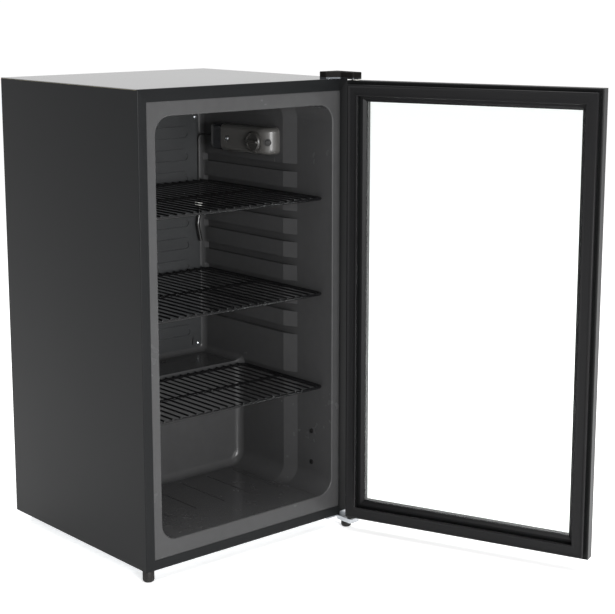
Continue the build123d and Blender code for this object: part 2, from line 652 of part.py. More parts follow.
with BuildPart() as drain_tube:
    drain_h = HUMP_TOP - PAN_LOW - 12
    with Locations((DRAIN[0], DRAIN[1], PAN_LOW + 12)):
        Cylinder(5.0, drain_h, align=(Align.CENTER, Align.CENTER, Align.MIN))
    drill(DRAIN[0], DRAIN[1], (PAN_LOW, HUMP_TOP + 1), 4.0)
drain_tube.part.label = "drain_tube"
export_step(drain_tube.part, "parts/drain_tube.step")

with BuildPart() as filter_drier:
    with Locations((-70.0, 186.0, 120.0)):
        Cylinder(8.5, 84)
    fillet(filter_drier.edges().filter_by(GeomType.CIRCLE), radius=5)
filter_drier.part.label = "filter_drier"
export_step(filter_drier.part, "parts/filter_drier.step")


def bent_tube(points, bend, radius):
    """Give a round tube along straight runs joined by arcs."""
    with BuildPart() as tube:
        with BuildLine() as tube_path:
            FilletPolyline(*points, radius=bend)
        with BuildSketch(Plane(origin=tube_path.line @ 0, z_dir=tube_path.line % 0)):
            Circle(radius)
        sweep()
    return tube.part


shell_side = COMPRESSOR[0] + SHELL_R
with BuildPart() as discharge_tube:
    discharge_points = [
        (shell_side - 6, COMPRESSOR[1] + 6, 74.0),
        (shell_side + 38, COMPRESSOR[1] + 6, 74.0),
        (shell_side + 38, COIL_Y, 74.0),
        (COIL_X + 12, COIL_Y, 120.0),
        (COIL_X + 12, COIL_Y, COIL_LOW - 14),
    ]
    add(bent_tube(discharge_points, 14, 2.5))
    add(compressor.part, mode=Mode.SUBTRACT)
discharge_tube.part.label = "discharge_tube"
export_step(discharge_tube.part, "parts/discharge_tube.step")

with BuildPart() as suction_tube:
    suction_points = [
        (shell_side - 8, COMPRESSOR[1] - 14, 128.0),
        (SUCTION[0], COMPRESSOR[1] - 14, 128.0),
        (SUCTION[0], SUCTION[1], 128.0),
        (SUCTION[0], SUCTION[1], BULKHEAD_Z + 6),
    ]
    add(bent_tube(suction_points, 7, 3.0))
    add(compressor.part, mode=Mode.SUBTRACT)
suction_tube.part.label = "suction_tube"
export_step(suction_tube.part, "parts/suction_tube.step")

# The condenser tube climbs the back in level runs; wires are spot welded to both of its sides.
coil_points = [(COIL_X + 12, COIL_Y, COIL_LOW - 14), (COIL_X + 12, COIL_Y, COIL_LOW)]
for run in range(COIL_RUNS):
    run_z = COIL_LOW + run * COIL_PITCH
    hand = 1 if run % 2 == 0 else -1
    if run > 0:
        coil_points.append((hand * COIL_X, COIL_Y, run_z))
    coil_points.append((-hand * COIL_X, COIL_Y, run_z))
coil_high = COIL_LOW + (COIL_RUNS - 1) * COIL_PITCH
with BuildPart() as condenser_tube:
    add(bent_tube(coil_points, 12, COIL_R))
condenser_tube.part.label = "condenser_tube"
export_step(condenser_tube.part, "parts/condenser_tube.step")

wire_offset = COIL_R + COIL_WIRE_R + 0.05
with BuildPart() as condenser_wires:
    wire_step = 2 * (COIL_X - 22) / (COIL_WIRES - 1)
    wire_h = coil_high - COIL_LOW + 16
    for count in range(COIL_WIRES):
        for hand in (-1, 1):
            spot = (-COIL_X + 22 + count * wire_step, COIL_Y + hand * wire_offset, COIL_LOW - 8)
            with Locations(spot):
                Cylinder(COIL_WIRE_R, wire_h, align=(Align.CENTER, Align.CENTER, Align.MIN))
condenser_wires.part.label = "condenser_wires"
export_step(condenser_wires.part, "parts/condenser_wires.step")

with BuildPart() as condenser_brackets:
    for hand in (-1, 1):
        for run in (1, COIL_RUNS - 2):
            spot_z = COIL_LOW + run * COIL_PITCH
            reach = sorted((hand * 161.0, hand * 167.0))
            span_box(reach, (BACK, COIL_Y), (spot_z - 9, spot_z + 9))
            with Locations(Location((hand * 164.0, COIL_Y, spot_z), (0, 90, 0))):
                Cylinder(COIL_R + 0.1, 14, mode=Mode.SUBTRACT)
condenser_brackets.part.label = "condenser_brackets"
export_step(condenser_brackets.part, "parts/condenser_brackets.step")

with BuildPart() as cord_gland:
    with Locations(Location((GLAND[0], BACK - 1, GLAND[1]), (-90, 0, 0))):
        Cylinder(11.0, 3.0, align=(Align.CENTER, Align.CENTER, Align.MIN))
    with Locations(Location((GLAND[0], BACK - 1, GLAND[1]), (-90, 0, 0))):
        Cylinder(7.9, 9.0, align=(Align.CENTER, Align.CENTER, Align.MAX))
    with Locations(Location((GLAND[0], BACK - 4, GLAND[1]), (90, 0, 0))):
        Cylinder(4.0, 30.0, mode=Mode.SUBTRACT)
cord_gland.part.label = "cord_gland"
export_step(cord_gland.part, "parts/cord_gland.step")

# ---------------------------------------------------------------- feet
def levelling_foot(spot, base_h, base_r, stud_top):
    """Build a round foot with a rounded sole and a threaded stud, on the floor at spot."""
    with BuildPart() as foot:
        with Locations((spot[0], spot[1], 0)):
            Cylinder(base_r, base_h, align=(Align.CENTER, Align.CENTER, Align.MIN))
        fillet(foot.edges().sort_by(Axis.Z)[0], radius=3.2)
        fillet(foot.edges().filter_by(GeomType.CIRCLE).sort_by(Axis.Z)[-1], radius=0.8)
        with Locations((spot[0], spot[1], 0.5)):
            Cylinder(STUD_R, stud_top - 0.5, align=(Align.CENTER, Align.CENTER, Align.MIN))
    return foot


front_left_foot = levelling_foot(LEFT_FOOT, 18.6, 10.0, DECK_TOP + 22)
front_left_foot.part.label = "front_left_foot"
export_step(front_left_foot.part, "parts/front_left_foot.step")

front_right_foot = levelling_foot(RIGHT_FOOT, 10.5, 9.3, BOTTOM + 0.6)
front_right_foot.part.label = "front_right_foot"
export_step(front_right_foot.part, "parts/front_right_foot.step")

with BuildPart() as foot_nut:
    with BuildSketch(Plane.XY.offset(DECK_TOP)) as nut_section:
        with Locations(LEFT_FOOT):
            RegularPolygon(8.0, 6)
            Circle(STUD_R + BUSH_CLEARANCE, mode=Mode.SUBTRACT)
    extrude(amount=8.0)
foot_nut.part.label = "foot_nut"
export_step(foot_nut.part, "parts/foot_nut.step")

with BuildPart() as rear_feet:
    for spot_x, spot_y in REAR_FEET:
        with Locations((spot_x, spot_y, 0)):
            Cone(11.0, 13.0, BOTTOM, align=(Align.CENTER, Align.CENTER, Align.MIN))
    fillet(rear_feet.edges().group_by(Axis.Z)[0], radius=2.0)
rear_feet.part.label = "rear_feet"
export_step(rear_feet.part, "parts/rear_feet.step")

# ---------------------------------------------------------------- hinges
HINGE_OUTLINE = [
    (182.0, -180.0),
    (225.0, -180.0),
    (225.0, -244.5),
    (203.0, -244.5),
    (203.0, -214.0),
    (182.0, -197.0),
]
DOOR_TOP = DOOR_BOTTOM + DOOR_H
FLANGE_GAP = 0.4
BUSH_FLANGE_T = 1.2

with BuildPart() as top_hinge_bracket:
    with BuildSketch(Plane.XY.offset(TOP)) as bracket_outline:
        with BuildLine():
            Polyline(*HINGE_OUTLINE, close=True)
        make_face()
        fillet(bracket_outline.vertices(), radius=3)
        with Locations(*screw_spots):
            Circle(2.2, mode=Mode.SUBTRACT)
    extrude(amount=BRACKET_T)
    with Locations((HINGE_X, HINGE_Y, TOP + BRACKET_T)):
        Cylinder(PIN_R, BRACKET_T + 14, align=(Align.CENTER, Align.CENTER, Align.MAX))
top_hinge_bracket.part.label = "top_hinge_bracket"
export_step(top_hinge_bracket.part, "parts/top_hinge_bracket.step")

with BuildPart() as top_hinge_screws:
    for spot_x, spot_y in screw_spots:
        with Locations((spot_x, spot_y, TOP + BRACKET_T)):
            Cylinder(2.0, 15, align=(Align.CENTER, Align.CENTER, Align.MAX))
            Cylinder(4.0, 2.4, align=(Align.CENTER, Align.CENTER, Align.MIN))
    fillet(top_hinge_screws.edges().group_by(Axis.Z)[-1], radius=1.2)
top_hinge_screws.part.label = "top_hinge_screws"
export_step(top_hinge_screws.part, "parts/top_hinge_screws.step")

COVER_H = 9.5
with BuildPart() as top_hinge_cover:
    with BuildSketch(Plane.XY.offset(TOP + BRACKET_T)) as cover_outline:
        with BuildLine():
            Polyline(*HINGE_OUTLINE, close=True)
        make_face()
        fillet(cover_outline.vertices(), radius=3)
    extrude(amount=COVER_H)
    fillet(top_hinge_cover.faces().sort_by(Axis.Z)[-1].edges(), radius=1.2)
    with BuildSketch(Plane.XY.offset(TOP + BRACKET_T)) as cover_inside:
        with BuildLine():
            Polyline(*HINGE_OUTLINE, close=True)
        make_face()
        offset(amount=-1.6)
    extrude(amount=COVER_H - 1.6, mode=Mode.SUBTRACT)
top_hinge_cover.part.label = "top_hinge_cover"
export_step(top_hinge_cover.part, "parts/top_hinge_cover.step")

ARM = ((203.0, 226.0), (-244.5, FRONT - 0.1))
LIP_LOW = 12.5
ARM_T = 3.0
with BuildPart() as bottom_hinge_bracket:
    span_box(ARM[0], ARM[1], (LIP_LOW, BOTTOM))
    fillet(bottom_hinge_bracket.edges().filter_by(Axis.Z).group_by(Axis.Y)[0], radius=4)
    span_box(
        (ARM[0][0] + 1.5, ARM[0][1] - 1.5),
        (ARM[1][0] + 1.5, ARM[1][1] + 1),
        (LIP_LOW - 1, BOTTOM - ARM_T),
        Mode.SUBTRACT,
    )
    # the plate carries on under the cabinet, and a short tab stands against its front
    span_box((178.0, 222.0), (FRONT - 0.1, -165.0), (BOTTOM - 2.5, BOTTOM))
    span_box((208.0, 223.0), (FRONT - 1.9, FRONT - 0.1), (BOTTOM, BOTTOM + 6.5))
    with Locations((RIGHT_FOOT[0], RIGHT_FOOT[1], BOTTOM)):
        Cylinder(6.8, 8.0, align=(Align.CENTER, Align.CENTER, Align.MAX))
    drill(RIGHT_FOOT[0], RIGHT_FOOT[1], (BOTTOM - 9, BOTTOM + 1), STUD_R + BUSH_CLEARANCE)
    with Locations((HINGE_X, HINGE_Y, BOTTOM - ARM_T)):
        Cylinder(PIN_R, ARM_T + 16, align=(Align.CENTER, Align.CENTER, Align.MIN))
bottom_hinge_bracket.part.label = "bottom_hinge_bracket"
export_step(bottom_hinge_bracket.part, "parts/bottom_hinge_bracket.step")

BOTTOM_SCREWS = [(188.0, -176.0), (212.0, -176.0)]
with BuildPart() as bottom_hinge_screws:
    for spot_x, spot_y in BOTTOM_SCREWS:
        with Locations((spot_x, spot_y, BOTTOM - 2.5)):
            Cylinder(4.5, 2.8, align=(Align.CENTER, Align.CENTER, Align.MAX))
    fillet(bottom_hinge_screws.edges().group_by(Axis.Z)[0], radius=1.2)
bottom_hinge_screws.part.label = "bottom_hinge_screws"
export_step(bottom_hinge_screws.part, "parts/bottom_hinge_screws.step")

# ---------------------------------------------------------------- door
# Door coordinates: X along the width from the hinge edge, Y up, Z from the outer face inwards.
swing = math.radians(OPEN_ANGLE)
along = Vector(-math.cos(swing), -math.sin(swing), 0)
inwards = Vector(-math.sin(swing), math.cos(swing), 0)
hinge_foot = Vector(HINGE_X, HINGE_Y, DOOR_BOTTOM)
DOOR = Plane(
    origin=hinge_foot - along * HINGE_S - inwards * HINGE_T,
    x_dir=along,
    z_dir=inwards,
)
MID = (DOOR_W / 2, DOOR_H / 2)


def member_plane(corner, inward):
    """Give the section plane of a frame member: X from its outer edge inwards, Y through the door."""
    return Plane(
        origin=DOOR.from_local_coords(Vector(corner[0], corner[1], 0)),
        x_dir=DOOR.x_dir * inward[0] + DOOR.y_dir * inward[1],
        z_dir=DOOR.x_dir * inward[1] - DOOR.y_dir * inward[0],
    )


FRAME = {
    "door_rail_bottom": ((0, 0), (0, 1), DOOR_W),
    "door_stile_free": ((DOOR_W, 0), (-1, 0), DOOR_H),
    "door_rail_top": ((DOOR_W, DOOR_H), (0, -1), DOOR_W),
    "door_stile_hinge": ((0, DOOR_H), (1, 0), DOOR_H),
}
MITRE = 60.0
BUSH_R = 5.5
BUSH_DEPTH = 16.0
for member_name, (corner, inward, length) in FRAME.items():
    run = (inward[1], -inward[0])
    far = (corner[0] + run[0] * length, corner[1] + run[1] * length)
    with BuildPart(DOOR) as member:
        with BuildSketch(member_plane(corner, inward)) as section:
            with Locations((REBATE_W / 2, DOOR_T / 2)):
                Rectangle(REBATE_W, DOOR_T)
            fillet(section.vertices().group_by(Axis.X)[0], radius=1.6)
            with Locations((MEMBER_W / 2 + 2, LIP_T / 2)):
                Rectangle(MEMBER_W - 4, LIP_T)
            with Locations((13.0, sum(CHAMBER) / 2)):
                RectangleRounded(18.0, CHAMBER[1] - CHAMBER[0], 1.0, mode=Mode.SUBTRACT)
            with Locations((sum(DART) / 2, DOOR_T)):
                Rectangle(DART[1] - DART[0], 2 * DART_DEPTH, mode=Mode.SUBTRACT)
            with Locations((4.4, DOOR_T)):
                Rectangle(1.4, 2.4, mode=Mode.SUBTRACT)
        extrude(amount=length)
        with BuildSketch(DOOR.offset(-1)) as mitred:
            with BuildLine():
                Polyline(
                    corner,
                    far,
                    (far[0] + (inward[0] - run[0]) * MITRE, far[1] + (inward[1] - run[1]) * MITRE),
                    (corner[0] + (inward[0] + run[0]) * MITRE, corner[1] + (inward[1] + run[1]) * MITRE),
                    close=True,
                )
            make_face()
        extrude(amount=DOOR_T + 2, mode=Mode.INTERSECT)
        if member_name != "door_stile_free":
            for end_z in (0, DOOR_H):
                with Locations(Location((HINGE_S, end_z, HINGE_T), (90, 0, 0))):
                    Cylinder(BUSH_R, 2 * BUSH_DEPTH, mode=Mode.SUBTRACT)
        if member_name == "door_stile_free":
            # finger pull pressed into the outer face, near the free edge
            with BuildSketch(DOOR.offset(-0.5)) as pull:
                with Locations((DOOR_W - 12.5, DOOR_H / 2)):
                    SlotOverall(190, 12, rotation=90)
            extrude(amount=3.3, mode=Mode.SUBTRACT)
    member.part.label = member_name
    export_step(member.part, f"parts/{member_name}.step")

with BuildPart(DOOR) as corner_keys:
    key_t = (CHAMBER[0] + 0.3, CHAMBER[1] - 0.3)
    for key_x, key_side in ((0, 1), (DOOR_W, -1)):
        for key_y, key_up in ((0, 1), (DOOR_H, -1)):
            leg_x = sorted((key_x + key_side * 4.3, key_x + key_side * 58))
            leg_y = sorted((key_y + key_up * 4.3, key_y + key_up * 58))
            thin_x = sorted((key_x + key_side * 4.3, key_x + key_side * 21.7))
            thin_y = sorted((key_y + key_up * 4.3, key_y + key_up * 21.7))
            span_box(leg_x, thin_y, key_t)
            span_box(thin_x, leg_y, key_t)
    for end_z in (0, DOOR_H):
        with Locations(Location((HINGE_S, end_z, HINGE_T), (90, 0, 0))):
            Cylinder(BUSH_R, 2 * BUSH_DEPTH, mode=Mode.SUBTRACT)
corner_keys.part.label = "corner_keys"
export_step(corner_keys.part, "parts/corner_keys.step")

for bush_name, end_z, out in (("hinge_bush_bottom", 0.0, -1), ("hinge_bush_top", DOOR_H, 1)):
    with BuildPart(DOOR) as bush:
        barrel = sorted((end_z - out * (BUSH_DEPTH - 0.3), end_z))
        barrel_mid = sum(barrel) / 2
        with Locations(Location((HINGE_S, barrel_mid, HINGE_T), (90, 0, 0))):
            Cylinder(BUSH_R - 0.05, barrel[1] - barrel[0])
        with Locations(Location((HINGE_S, end_z + out * BUSH_FLANGE_T / 2, HINGE_T), (90, 0, 0))):
            Cylinder(BUSH_R + 2.0, BUSH_FLANGE_T)
        with Locations(Location((HINGE_S, end_z - out * 5, HINGE_T), (90, 0, 0))):
            Cylinder(PIN_R + BUSH_CLEARANCE, 2 * 15 - 10, mode=Mode.SUBTRACT)
    bush.part.label = bush_name
    export_step(bush.part, f"parts/{bush_name}.step")


def pane(name, low_t):
    """Export one glass pane of the sealed unit, starting at depth low_t from the outer face."""
    with BuildPart(DOOR) as glass:
        with BuildSketch(DOOR.offset(low_t)):
            with Locations(MID):
                RectangleRounded(DOOR_W - 2 * REBATE_W - 1, DOOR_H - 2 * REBATE_W - 1, 2)
        extrude(amount=PANE_T)
    glass.part.label = name
    export_step(glass.part, f"parts/{name}.step")


pane("glass_outer", LIP_T)
pane("glass_inner", LIP_T + UNIT_T - PANE_T)

SPACER_W = 9.5
with BuildPart(DOOR) as glass_spacer:
    with BuildSketch(DOOR.offset(LIP_T + PANE_T)):
        with Locations(MID):
            Rectangle(DOOR_W - 2 * REBATE_W - 1, DOOR_H - 2 * REBATE_W - 1)
            opening_w = DOOR_W - 2 * REBATE_W - 2 * SPACER_W
            opening_h = DOOR_H - 2 * REBATE_W - 2 * SPACER_W
            Rectangle(opening_w, opening_h, mode=Mode.SUBTRACT)
    extrude(amount=UNIT_T - 2 * PANE_T)
glass_spacer.part.label = "glass_spacer"
export_step(glass_spacer.part, "parts/glass_spacer.step")

with BuildPart(DOOR) as glazing_bead:
    with BuildSketch(DOOR.offset(LIP_T + UNIT_T)):
        with Locations(MID):
            Rectangle(DOOR_W - 2 * REBATE_W, DOOR_H - 2 * REBATE_W)
            Rectangle(DOOR_W - 2 * MEMBER_W, DOOR_H - 2 * MEMBER_W, mode=Mode.SUBTRACT)
    extrude(amount=DOOR_T - LIP_T - UNIT_T)
    bead_top = glazing_bead.faces().sort_by(Axis(DOOR.origin, DOOR.z_dir))[-1]
    chamfer(bead_top.inner_wires()[0].edges(), length=BEAD_SLOPE)
glazing_bead.part.label = "glazing_bead"
export_step(glazing_bead.part, "parts/glazing_bead.step")

with BuildPart(DOOR) as door_gasket:
    with BuildSketch(DOOR.offset(DOOR_T)):
        with Locations(MID):
            RectangleRounded(DOOR_W - 2 * GASKET_OUT, DOOR_H - 2 * GASKET_OUT, 3)
            Rectangle(DOOR_W - 2 * GASKET_IN, DOOR_H - 2 * GASKET_IN, mode=Mode.SUBTRACT)
    extrude(amount=GASKET_PROUD)
    gasket_top = door_gasket.faces().sort_by(Axis(DOOR.origin, DOOR.z_dir))[-1]
    fillet(gasket_top.edges(), radius=2.6)
    # the fold between the bellows and the magnet tube
    with BuildSketch(DOOR.offset(DOOR_T + GASKET_PROUD)):
        with Locations(MID):
            Rectangle(DOOR_W - 2 * 11.0, DOOR_H - 2 * 11.0)
            Rectangle(DOOR_W - 2 * 13.4, DOOR_H - 2 * 13.4, mode=Mode.SUBTRACT)
    extrude(amount=-4.0, mode=Mode.SUBTRACT)
    # the dart that snaps into the frame, and the tube that holds the magnet
    dart_out = DART[0] + 0.4
    dart_in = DART[1] - 0.4
    with BuildSketch(DOOR.offset(DOOR_T - DART_DEPTH + 0.3)):
        with Locations(MID):
            Rectangle(DOOR_W - 2 * dart_out, DOOR_H - 2 * dart_out)
            Rectangle(DOOR_W - 2 * dart_in, DOOR_H - 2 * dart_in, mode=Mode.SUBTRACT)
    extrude(amount=DART_DEPTH)
    with BuildSketch(DOOR.offset(DOOR_T + MAGNET_LOW)):
        with Locations(MID):
            Rectangle(DOOR_W - 2 * MAGNET_TUBE[0], DOOR_H - 2 * MAGNET_TUBE[0])
            Rectangle(DOOR_W - 2 * MAGNET_TUBE[1], DOOR_H - 2 * MAGNET_TUBE[1], mode=Mode.SUBTRACT)
    extrude(amount=MAGNET_T, mode=Mode.SUBTRACT)
door_gasket.part.label = "door_gasket"
export_step(door_gasket.part, "parts/door_gasket.step")

with BuildPart(DOOR) as magnet_strips:
    strip_t = (DOOR_T + MAGNET_LOW + MAGNET_GAP, DOOR_T + MAGNET_LOW + MAGNET_T - MAGNET_GAP)
    strip_low = MAGNET_TUBE[0] + MAGNET_GAP
    strip_high = MAGNET_TUBE[1] - MAGNET_GAP
    long_x = (MAGNET_TUBE[1] + 2, DOOR_W - MAGNET_TUBE[1] - 2)
    long_y = (MAGNET_TUBE[1] + 2, DOOR_H - MAGNET_TUBE[1] - 2)
    span_box(long_x, (strip_low, strip_high), strip_t)
    span_box(long_x, (DOOR_H - strip_high, DOOR_H - strip_low), strip_t)
    span_box((strip_low, strip_high), long_y, strip_t)
    span_box((DOOR_W - strip_high, DOOR_W - strip_low), long_y, strip_t)
magnet_strips.part.label = "magnet_strips"
export_step(magnet_strips.part, "parts/magnet_strips.step")
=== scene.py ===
"""Glass door merchandiser: the finished look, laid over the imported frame.

Everything is in metres, in the frame's own axes: X to the cabinet's right, Y to the back, Z up.
"""

import enum
import json
import logging
import math
from dataclasses import dataclass, field
from typing import Any, Iterable, Sequence

import bmesh
import bpy
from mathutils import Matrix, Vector


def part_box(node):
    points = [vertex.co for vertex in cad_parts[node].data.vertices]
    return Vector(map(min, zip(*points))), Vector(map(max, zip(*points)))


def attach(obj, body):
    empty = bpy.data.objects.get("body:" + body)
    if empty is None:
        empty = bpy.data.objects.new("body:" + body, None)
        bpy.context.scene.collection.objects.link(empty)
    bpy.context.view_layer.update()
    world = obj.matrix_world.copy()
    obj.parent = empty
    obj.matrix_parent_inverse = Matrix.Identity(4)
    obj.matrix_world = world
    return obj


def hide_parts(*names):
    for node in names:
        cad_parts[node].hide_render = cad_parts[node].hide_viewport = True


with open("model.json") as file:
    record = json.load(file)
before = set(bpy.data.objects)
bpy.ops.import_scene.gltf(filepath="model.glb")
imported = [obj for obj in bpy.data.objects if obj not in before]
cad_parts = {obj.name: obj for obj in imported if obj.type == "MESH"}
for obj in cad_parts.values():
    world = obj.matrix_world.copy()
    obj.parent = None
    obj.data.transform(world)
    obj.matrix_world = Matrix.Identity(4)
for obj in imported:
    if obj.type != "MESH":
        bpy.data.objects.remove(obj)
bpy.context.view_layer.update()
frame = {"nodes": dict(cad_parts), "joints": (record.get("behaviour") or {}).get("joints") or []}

LOG = logging.getLogger("merchandiser")
MM = 0.001
ARC_STEPS = 6

Point = Sequence[float]


# ------------------------------------------------------------------ shading

# How much of a colour's variation follows the relief, the rest being broad clouds; and the least
# roughness that a finish may reach.
RELIEF_SHARE = 0.35
SMOOTHEST = 0.02


def linear(hex_colour: str) -> tuple[float, float, float, float]:
    """Turn an sRGB hex colour into linear light.

    Args:
        hex_colour: Six hex digits, with or without a leading hash.

    Returns:
        Linear red, green and blue, and an alpha of one.
    """
    digits = hex_colour.lstrip("#")
    channels = [int(digits[place : place + 2], 16) / 255 for place in (0, 2, 4)]
    curved = [c / 12.92 if c <= 0.04045 else ((c + 0.055) / 1.055) ** 2.4 for c in channels]
    return (curved[0], curved[1], curved[2], 1.0)


def add_node(tree: bpy.types.NodeTree, kind: str, values: dict[Any, Any] | None = None,
             links: dict[Any, Any] | None = None, **settings: Any) -> bpy.types.Node:
    """Add a node to a tree, with its settings, socket values and incoming links.

    Args:
        tree: Shader or geometry tree to add to.
        kind: Blender's type name of the node.
        values: Constant for each input socket, by name or index.
        links: Source output socket for each input socket, by name or index.
        **settings: Properties of the node itself.

    Returns:
        The new node.
    """
    made = tree.nodes.new(kind)
    for key, value in settings.items():
        setattr(made, key, value)
    for socket, value in (values or {}).items():
        made.inputs[socket].default_value = value
    for socket, source in (links or {}).items():
        tree.links.new(source, made.inputs[socket])
    return made


class Grain(enum.Enum):
    """How a surface was made, which sets the pattern that shows on it."""

    POWDER = "orange peel of a baked powder coat"
    MOULDED = "spark-eroded mould texture"
    FORMED = "slow waves of a vacuum-formed sheet"
    DRAWN = "fine die lines along an extrusion"
    SPANGLE = "zinc crystals of dipped steel"
    PLATED = "bright even electroplate"
    FOAMED = "closed cells of rigid foam"


@dataclass(frozen=True)
class Finish:
    """One real surface finish and the node material that shows it.

    Attributes:
        name: The finish in a maker's words.
        colour: Base colour, sRGB hex.
        tint: The colour that the pattern shades towards, sRGB hex.
        rough: Mean roughness.
        rough_swing: How far roughness wanders either way.
        grain: The pattern.
        pitch_mm: Distance between the pattern's features.
        height_mm: Depth of the pattern's relief.
        metallic: One for bare metal.
        specular: Specular level; 0.5 is the plain dielectric.
        coat: Weight of a clear top coat.
        coat_rough: Roughness of the top coat.
        stretch: Pattern scale along X, Y and Z.
        turn_deg: Turn of the pattern about Z.
        ior: Index of refraction; metals keep the default.
    """

    name: str
    colour: str
    tint: str
    rough: float
    rough_swing: float = 0.05
    grain: Grain = Grain.MOULDED
    pitch_mm: float = 1.5
    height_mm: float = 0.02
    metallic: float = 0.0
    specular: float = 0.5
    coat: float = 0.0
    coat_rough: float = 0.1
    stretch: tuple[float, float, float] = (1.0, 1.0, 1.0)
    turn_deg: float = 0.0
    ior: float = 1.5

    def make(self) -> bpy.types.Material:
        """Build the material, or return it if it has been built.

        Returns:
            The node material for this finish.
        """
        found = bpy.data.materials.get(self.name)
        if found:
            return found
        material = bpy.data.materials.new(self.name)
        material.use_nodes = True
        tree = material.node_tree
        shader = tree.nodes["Principled BSDF"]
        place = add_node(tree, "ShaderNodeTexCoord")
        turned = add_node(
            tree, "ShaderNodeMapping", {"Rotation": (0.0, 0.0, math.radians(self.turn_deg))},
            {"Vector": place.outputs["Object"]},
        )
        fitted = add_node(
            tree, "ShaderNodeMapping", {"Scale": self.stretch}, {"Vector": turned.outputs["Vector"]}
        )
        relief = self._relief(tree, fitted.outputs["Vector"])
        cloud = add_node(
            tree, "ShaderNodeTexNoise", {"Scale": 9.0, "Detail": 4.0, "Roughness": 0.6},
            {"Vector": turned.outputs["Vector"]},
        )
        wander = add_node(
            tree, "ShaderNodeMath", {1: 1.0 - RELIEF_SHARE}, {0: cloud.outputs["Fac"]},
            operation="MULTIPLY",
        )
        shade = add_node(
            tree, "ShaderNodeMath", {1: RELIEF_SHARE, 2: 0.0}, {0: relief, 2: wander.outputs[0]},
            operation="MULTIPLY_ADD",
        )
        colour = add_node(
            tree, "ShaderNodeMix", {6: linear(self.colour), 7: linear(self.tint)},
            {0: shade.outputs[0]}, data_type="RGBA",
        )
        low, high = self.rough - self.rough_swing, self.rough + self.rough_swing
        rough = add_node(
            tree, "ShaderNodeMapRange", {1: 0.25, 2: 0.75, 3: max(low, SMOOTHEST), 4: high},
            {0: shade.outputs[0]},
        )
        bump = add_node(
            tree, "ShaderNodeBump", {"Strength": 1.0, "Distance": self.height_mm * MM},
            {"Height": relief},
        )
        tree.links.new(colour.outputs[2], shader.inputs["Base Color"])
        tree.links.new(rough.outputs[0], shader.inputs["Roughness"])
        tree.links.new(bump.outputs[0], shader.inputs["Normal"])
        shader.inputs["Metallic"].default_value = self.metallic
        shader.inputs["Specular IOR Level"].default_value = self.specular
        shader.inputs["IOR"].default_value = self.ior
        shader.inputs["Coat Weight"].default_value = self.coat
        shader.inputs["Coat Roughness"].default_value = self.coat_rough
        return material

    def _relief(self, tree: bpy.types.NodeTree, vector: bpy.types.NodeSocket) -> bpy.types.NodeSocket:
        """Add the height pattern of this finish's grain.

        Args:
            tree: The material's tree.
            vector: Coordinates in metres, stretched to suit.

        Returns:
            A socket that carries the height, from nought to one.
        """
        scale = 1.0 / (self.pitch_mm * MM)
        if self.grain in (Grain.SPANGLE, Grain.FOAMED):
            cells = add_node(
                tree, "ShaderNodeTexVoronoi", {"Scale": scale, "Randomness": 1.0}, {"Vector": vector},
                feature="F1",
            )
            if self.grain is Grain.FOAMED:
                return cells.outputs["Distance"]
            split = add_node(tree, "ShaderNodeSeparateColor", None, {0: cells.outputs["Color"]})
            return split.outputs[0]
        detail = {Grain.POWDER: 1.0, Grain.FORMED: 1.5, Grain.MOULDED: 3.0}.get(self.grain, 4.0)
        noise = add_node(
            tree, "ShaderNodeTexNoise", {"Scale": scale, "Detail": detail, "Roughness": 0.55},
            {"Vector": vector},
        )
        return noise.outputs["Fac"]


@dataclass(frozen=True)
class GlassFinish:
    """Clear float glass, toughened, with the faint green that iron gives it.

    Attributes:
        name: The finish in a maker's words.
        colour: Colour of the light that passes, sRGB hex.
        rough: Highest roughness, from wiping marks.
        ior: Index of refraction.
    """

    name: str
    colour: str
    rough: float
    ior: float

    def make(self) -> bpy.types.Material:
        """Build the material, or return it if it has been built.

        Returns:
            The node material for this glass.
        """
        found = bpy.data.materials.get(self.name)
        if found:
            return found
        material = bpy.data.materials.new(self.name)
        material.use_nodes = True
        tree = material.node_tree
        shader = tree.nodes["Principled BSDF"]
        place = add_node(tree, "ShaderNodeTexCoord")
        smears = add_node(
            tree, "ShaderNodeTexNoise", {"Scale": 6.0, "Detail": 5.0, "Distortion": 1.5},
            {"Vector": place.outputs["Object"]},
        )
        rough = add_node(
            tree, "ShaderNodeMapRange", {1: 0.45, 2: 0.85, 3: 0.0, 4: self.rough},
            {0: smears.outputs["Fac"]},
        )
        tree.links.new(rough.outputs[0], shader.inputs["Roughness"])
        shader.inputs["Base Color"].default_value = linear(self.colour)
        shader.inputs["Transmission Weight"].default_value = 1.0
        shader.inputs["IOR"].default_value = self.ior
        return material


AnyFinish = Finish | GlassFinish

# How far the door stands open, and the turn about Z that this gives the die lines of its rails.
DOOR_OPEN_DEG = 110.9
DOOR_TURN_DEG = 180.0 - DOOR_OPEN_DEG

# Baked polyester powder on steel: satin, with a soft orange peel. Real peel is 1 to 2 mm, too
# fine to show from two metres away, so it is drawn at 4 mm.
POWDER_COATED_STEEL = Finish(
    "powder_coated_steel", "#111213", "#161718", 0.38, 0.03, Grain.POWDER, 4.0, 0.012, specular=0.12,
)
# The top sheet wears the same powder, baked facing up, so it has flowed flatter and glossier. Its colour
# is painted lighter than the sides' as a painted sheen, standing in for the pale grazing reflection that
# the top shows.
TOP_SHEET_PAINTED_SHEEN = Finish(
    "powder_top_sheet_painted_sheen", "#2a2b2e", "#323336", 0.20, 0.02, Grain.POWDER, 5.0, 0.004,
    specular=0.9, coat=1.0, coat_rough=0.12,
)
# High-impact polystyrene drawn over a mould: satin, with slow waves where the sheet stretched.
FORMED_POLYSTYRENE = Finish(
    "vacuum_formed_polystyrene", "#353535", "#404041", 0.25, 0.04, Grain.FORMED, 14.0, 0.04,
    specular=0.22,
)
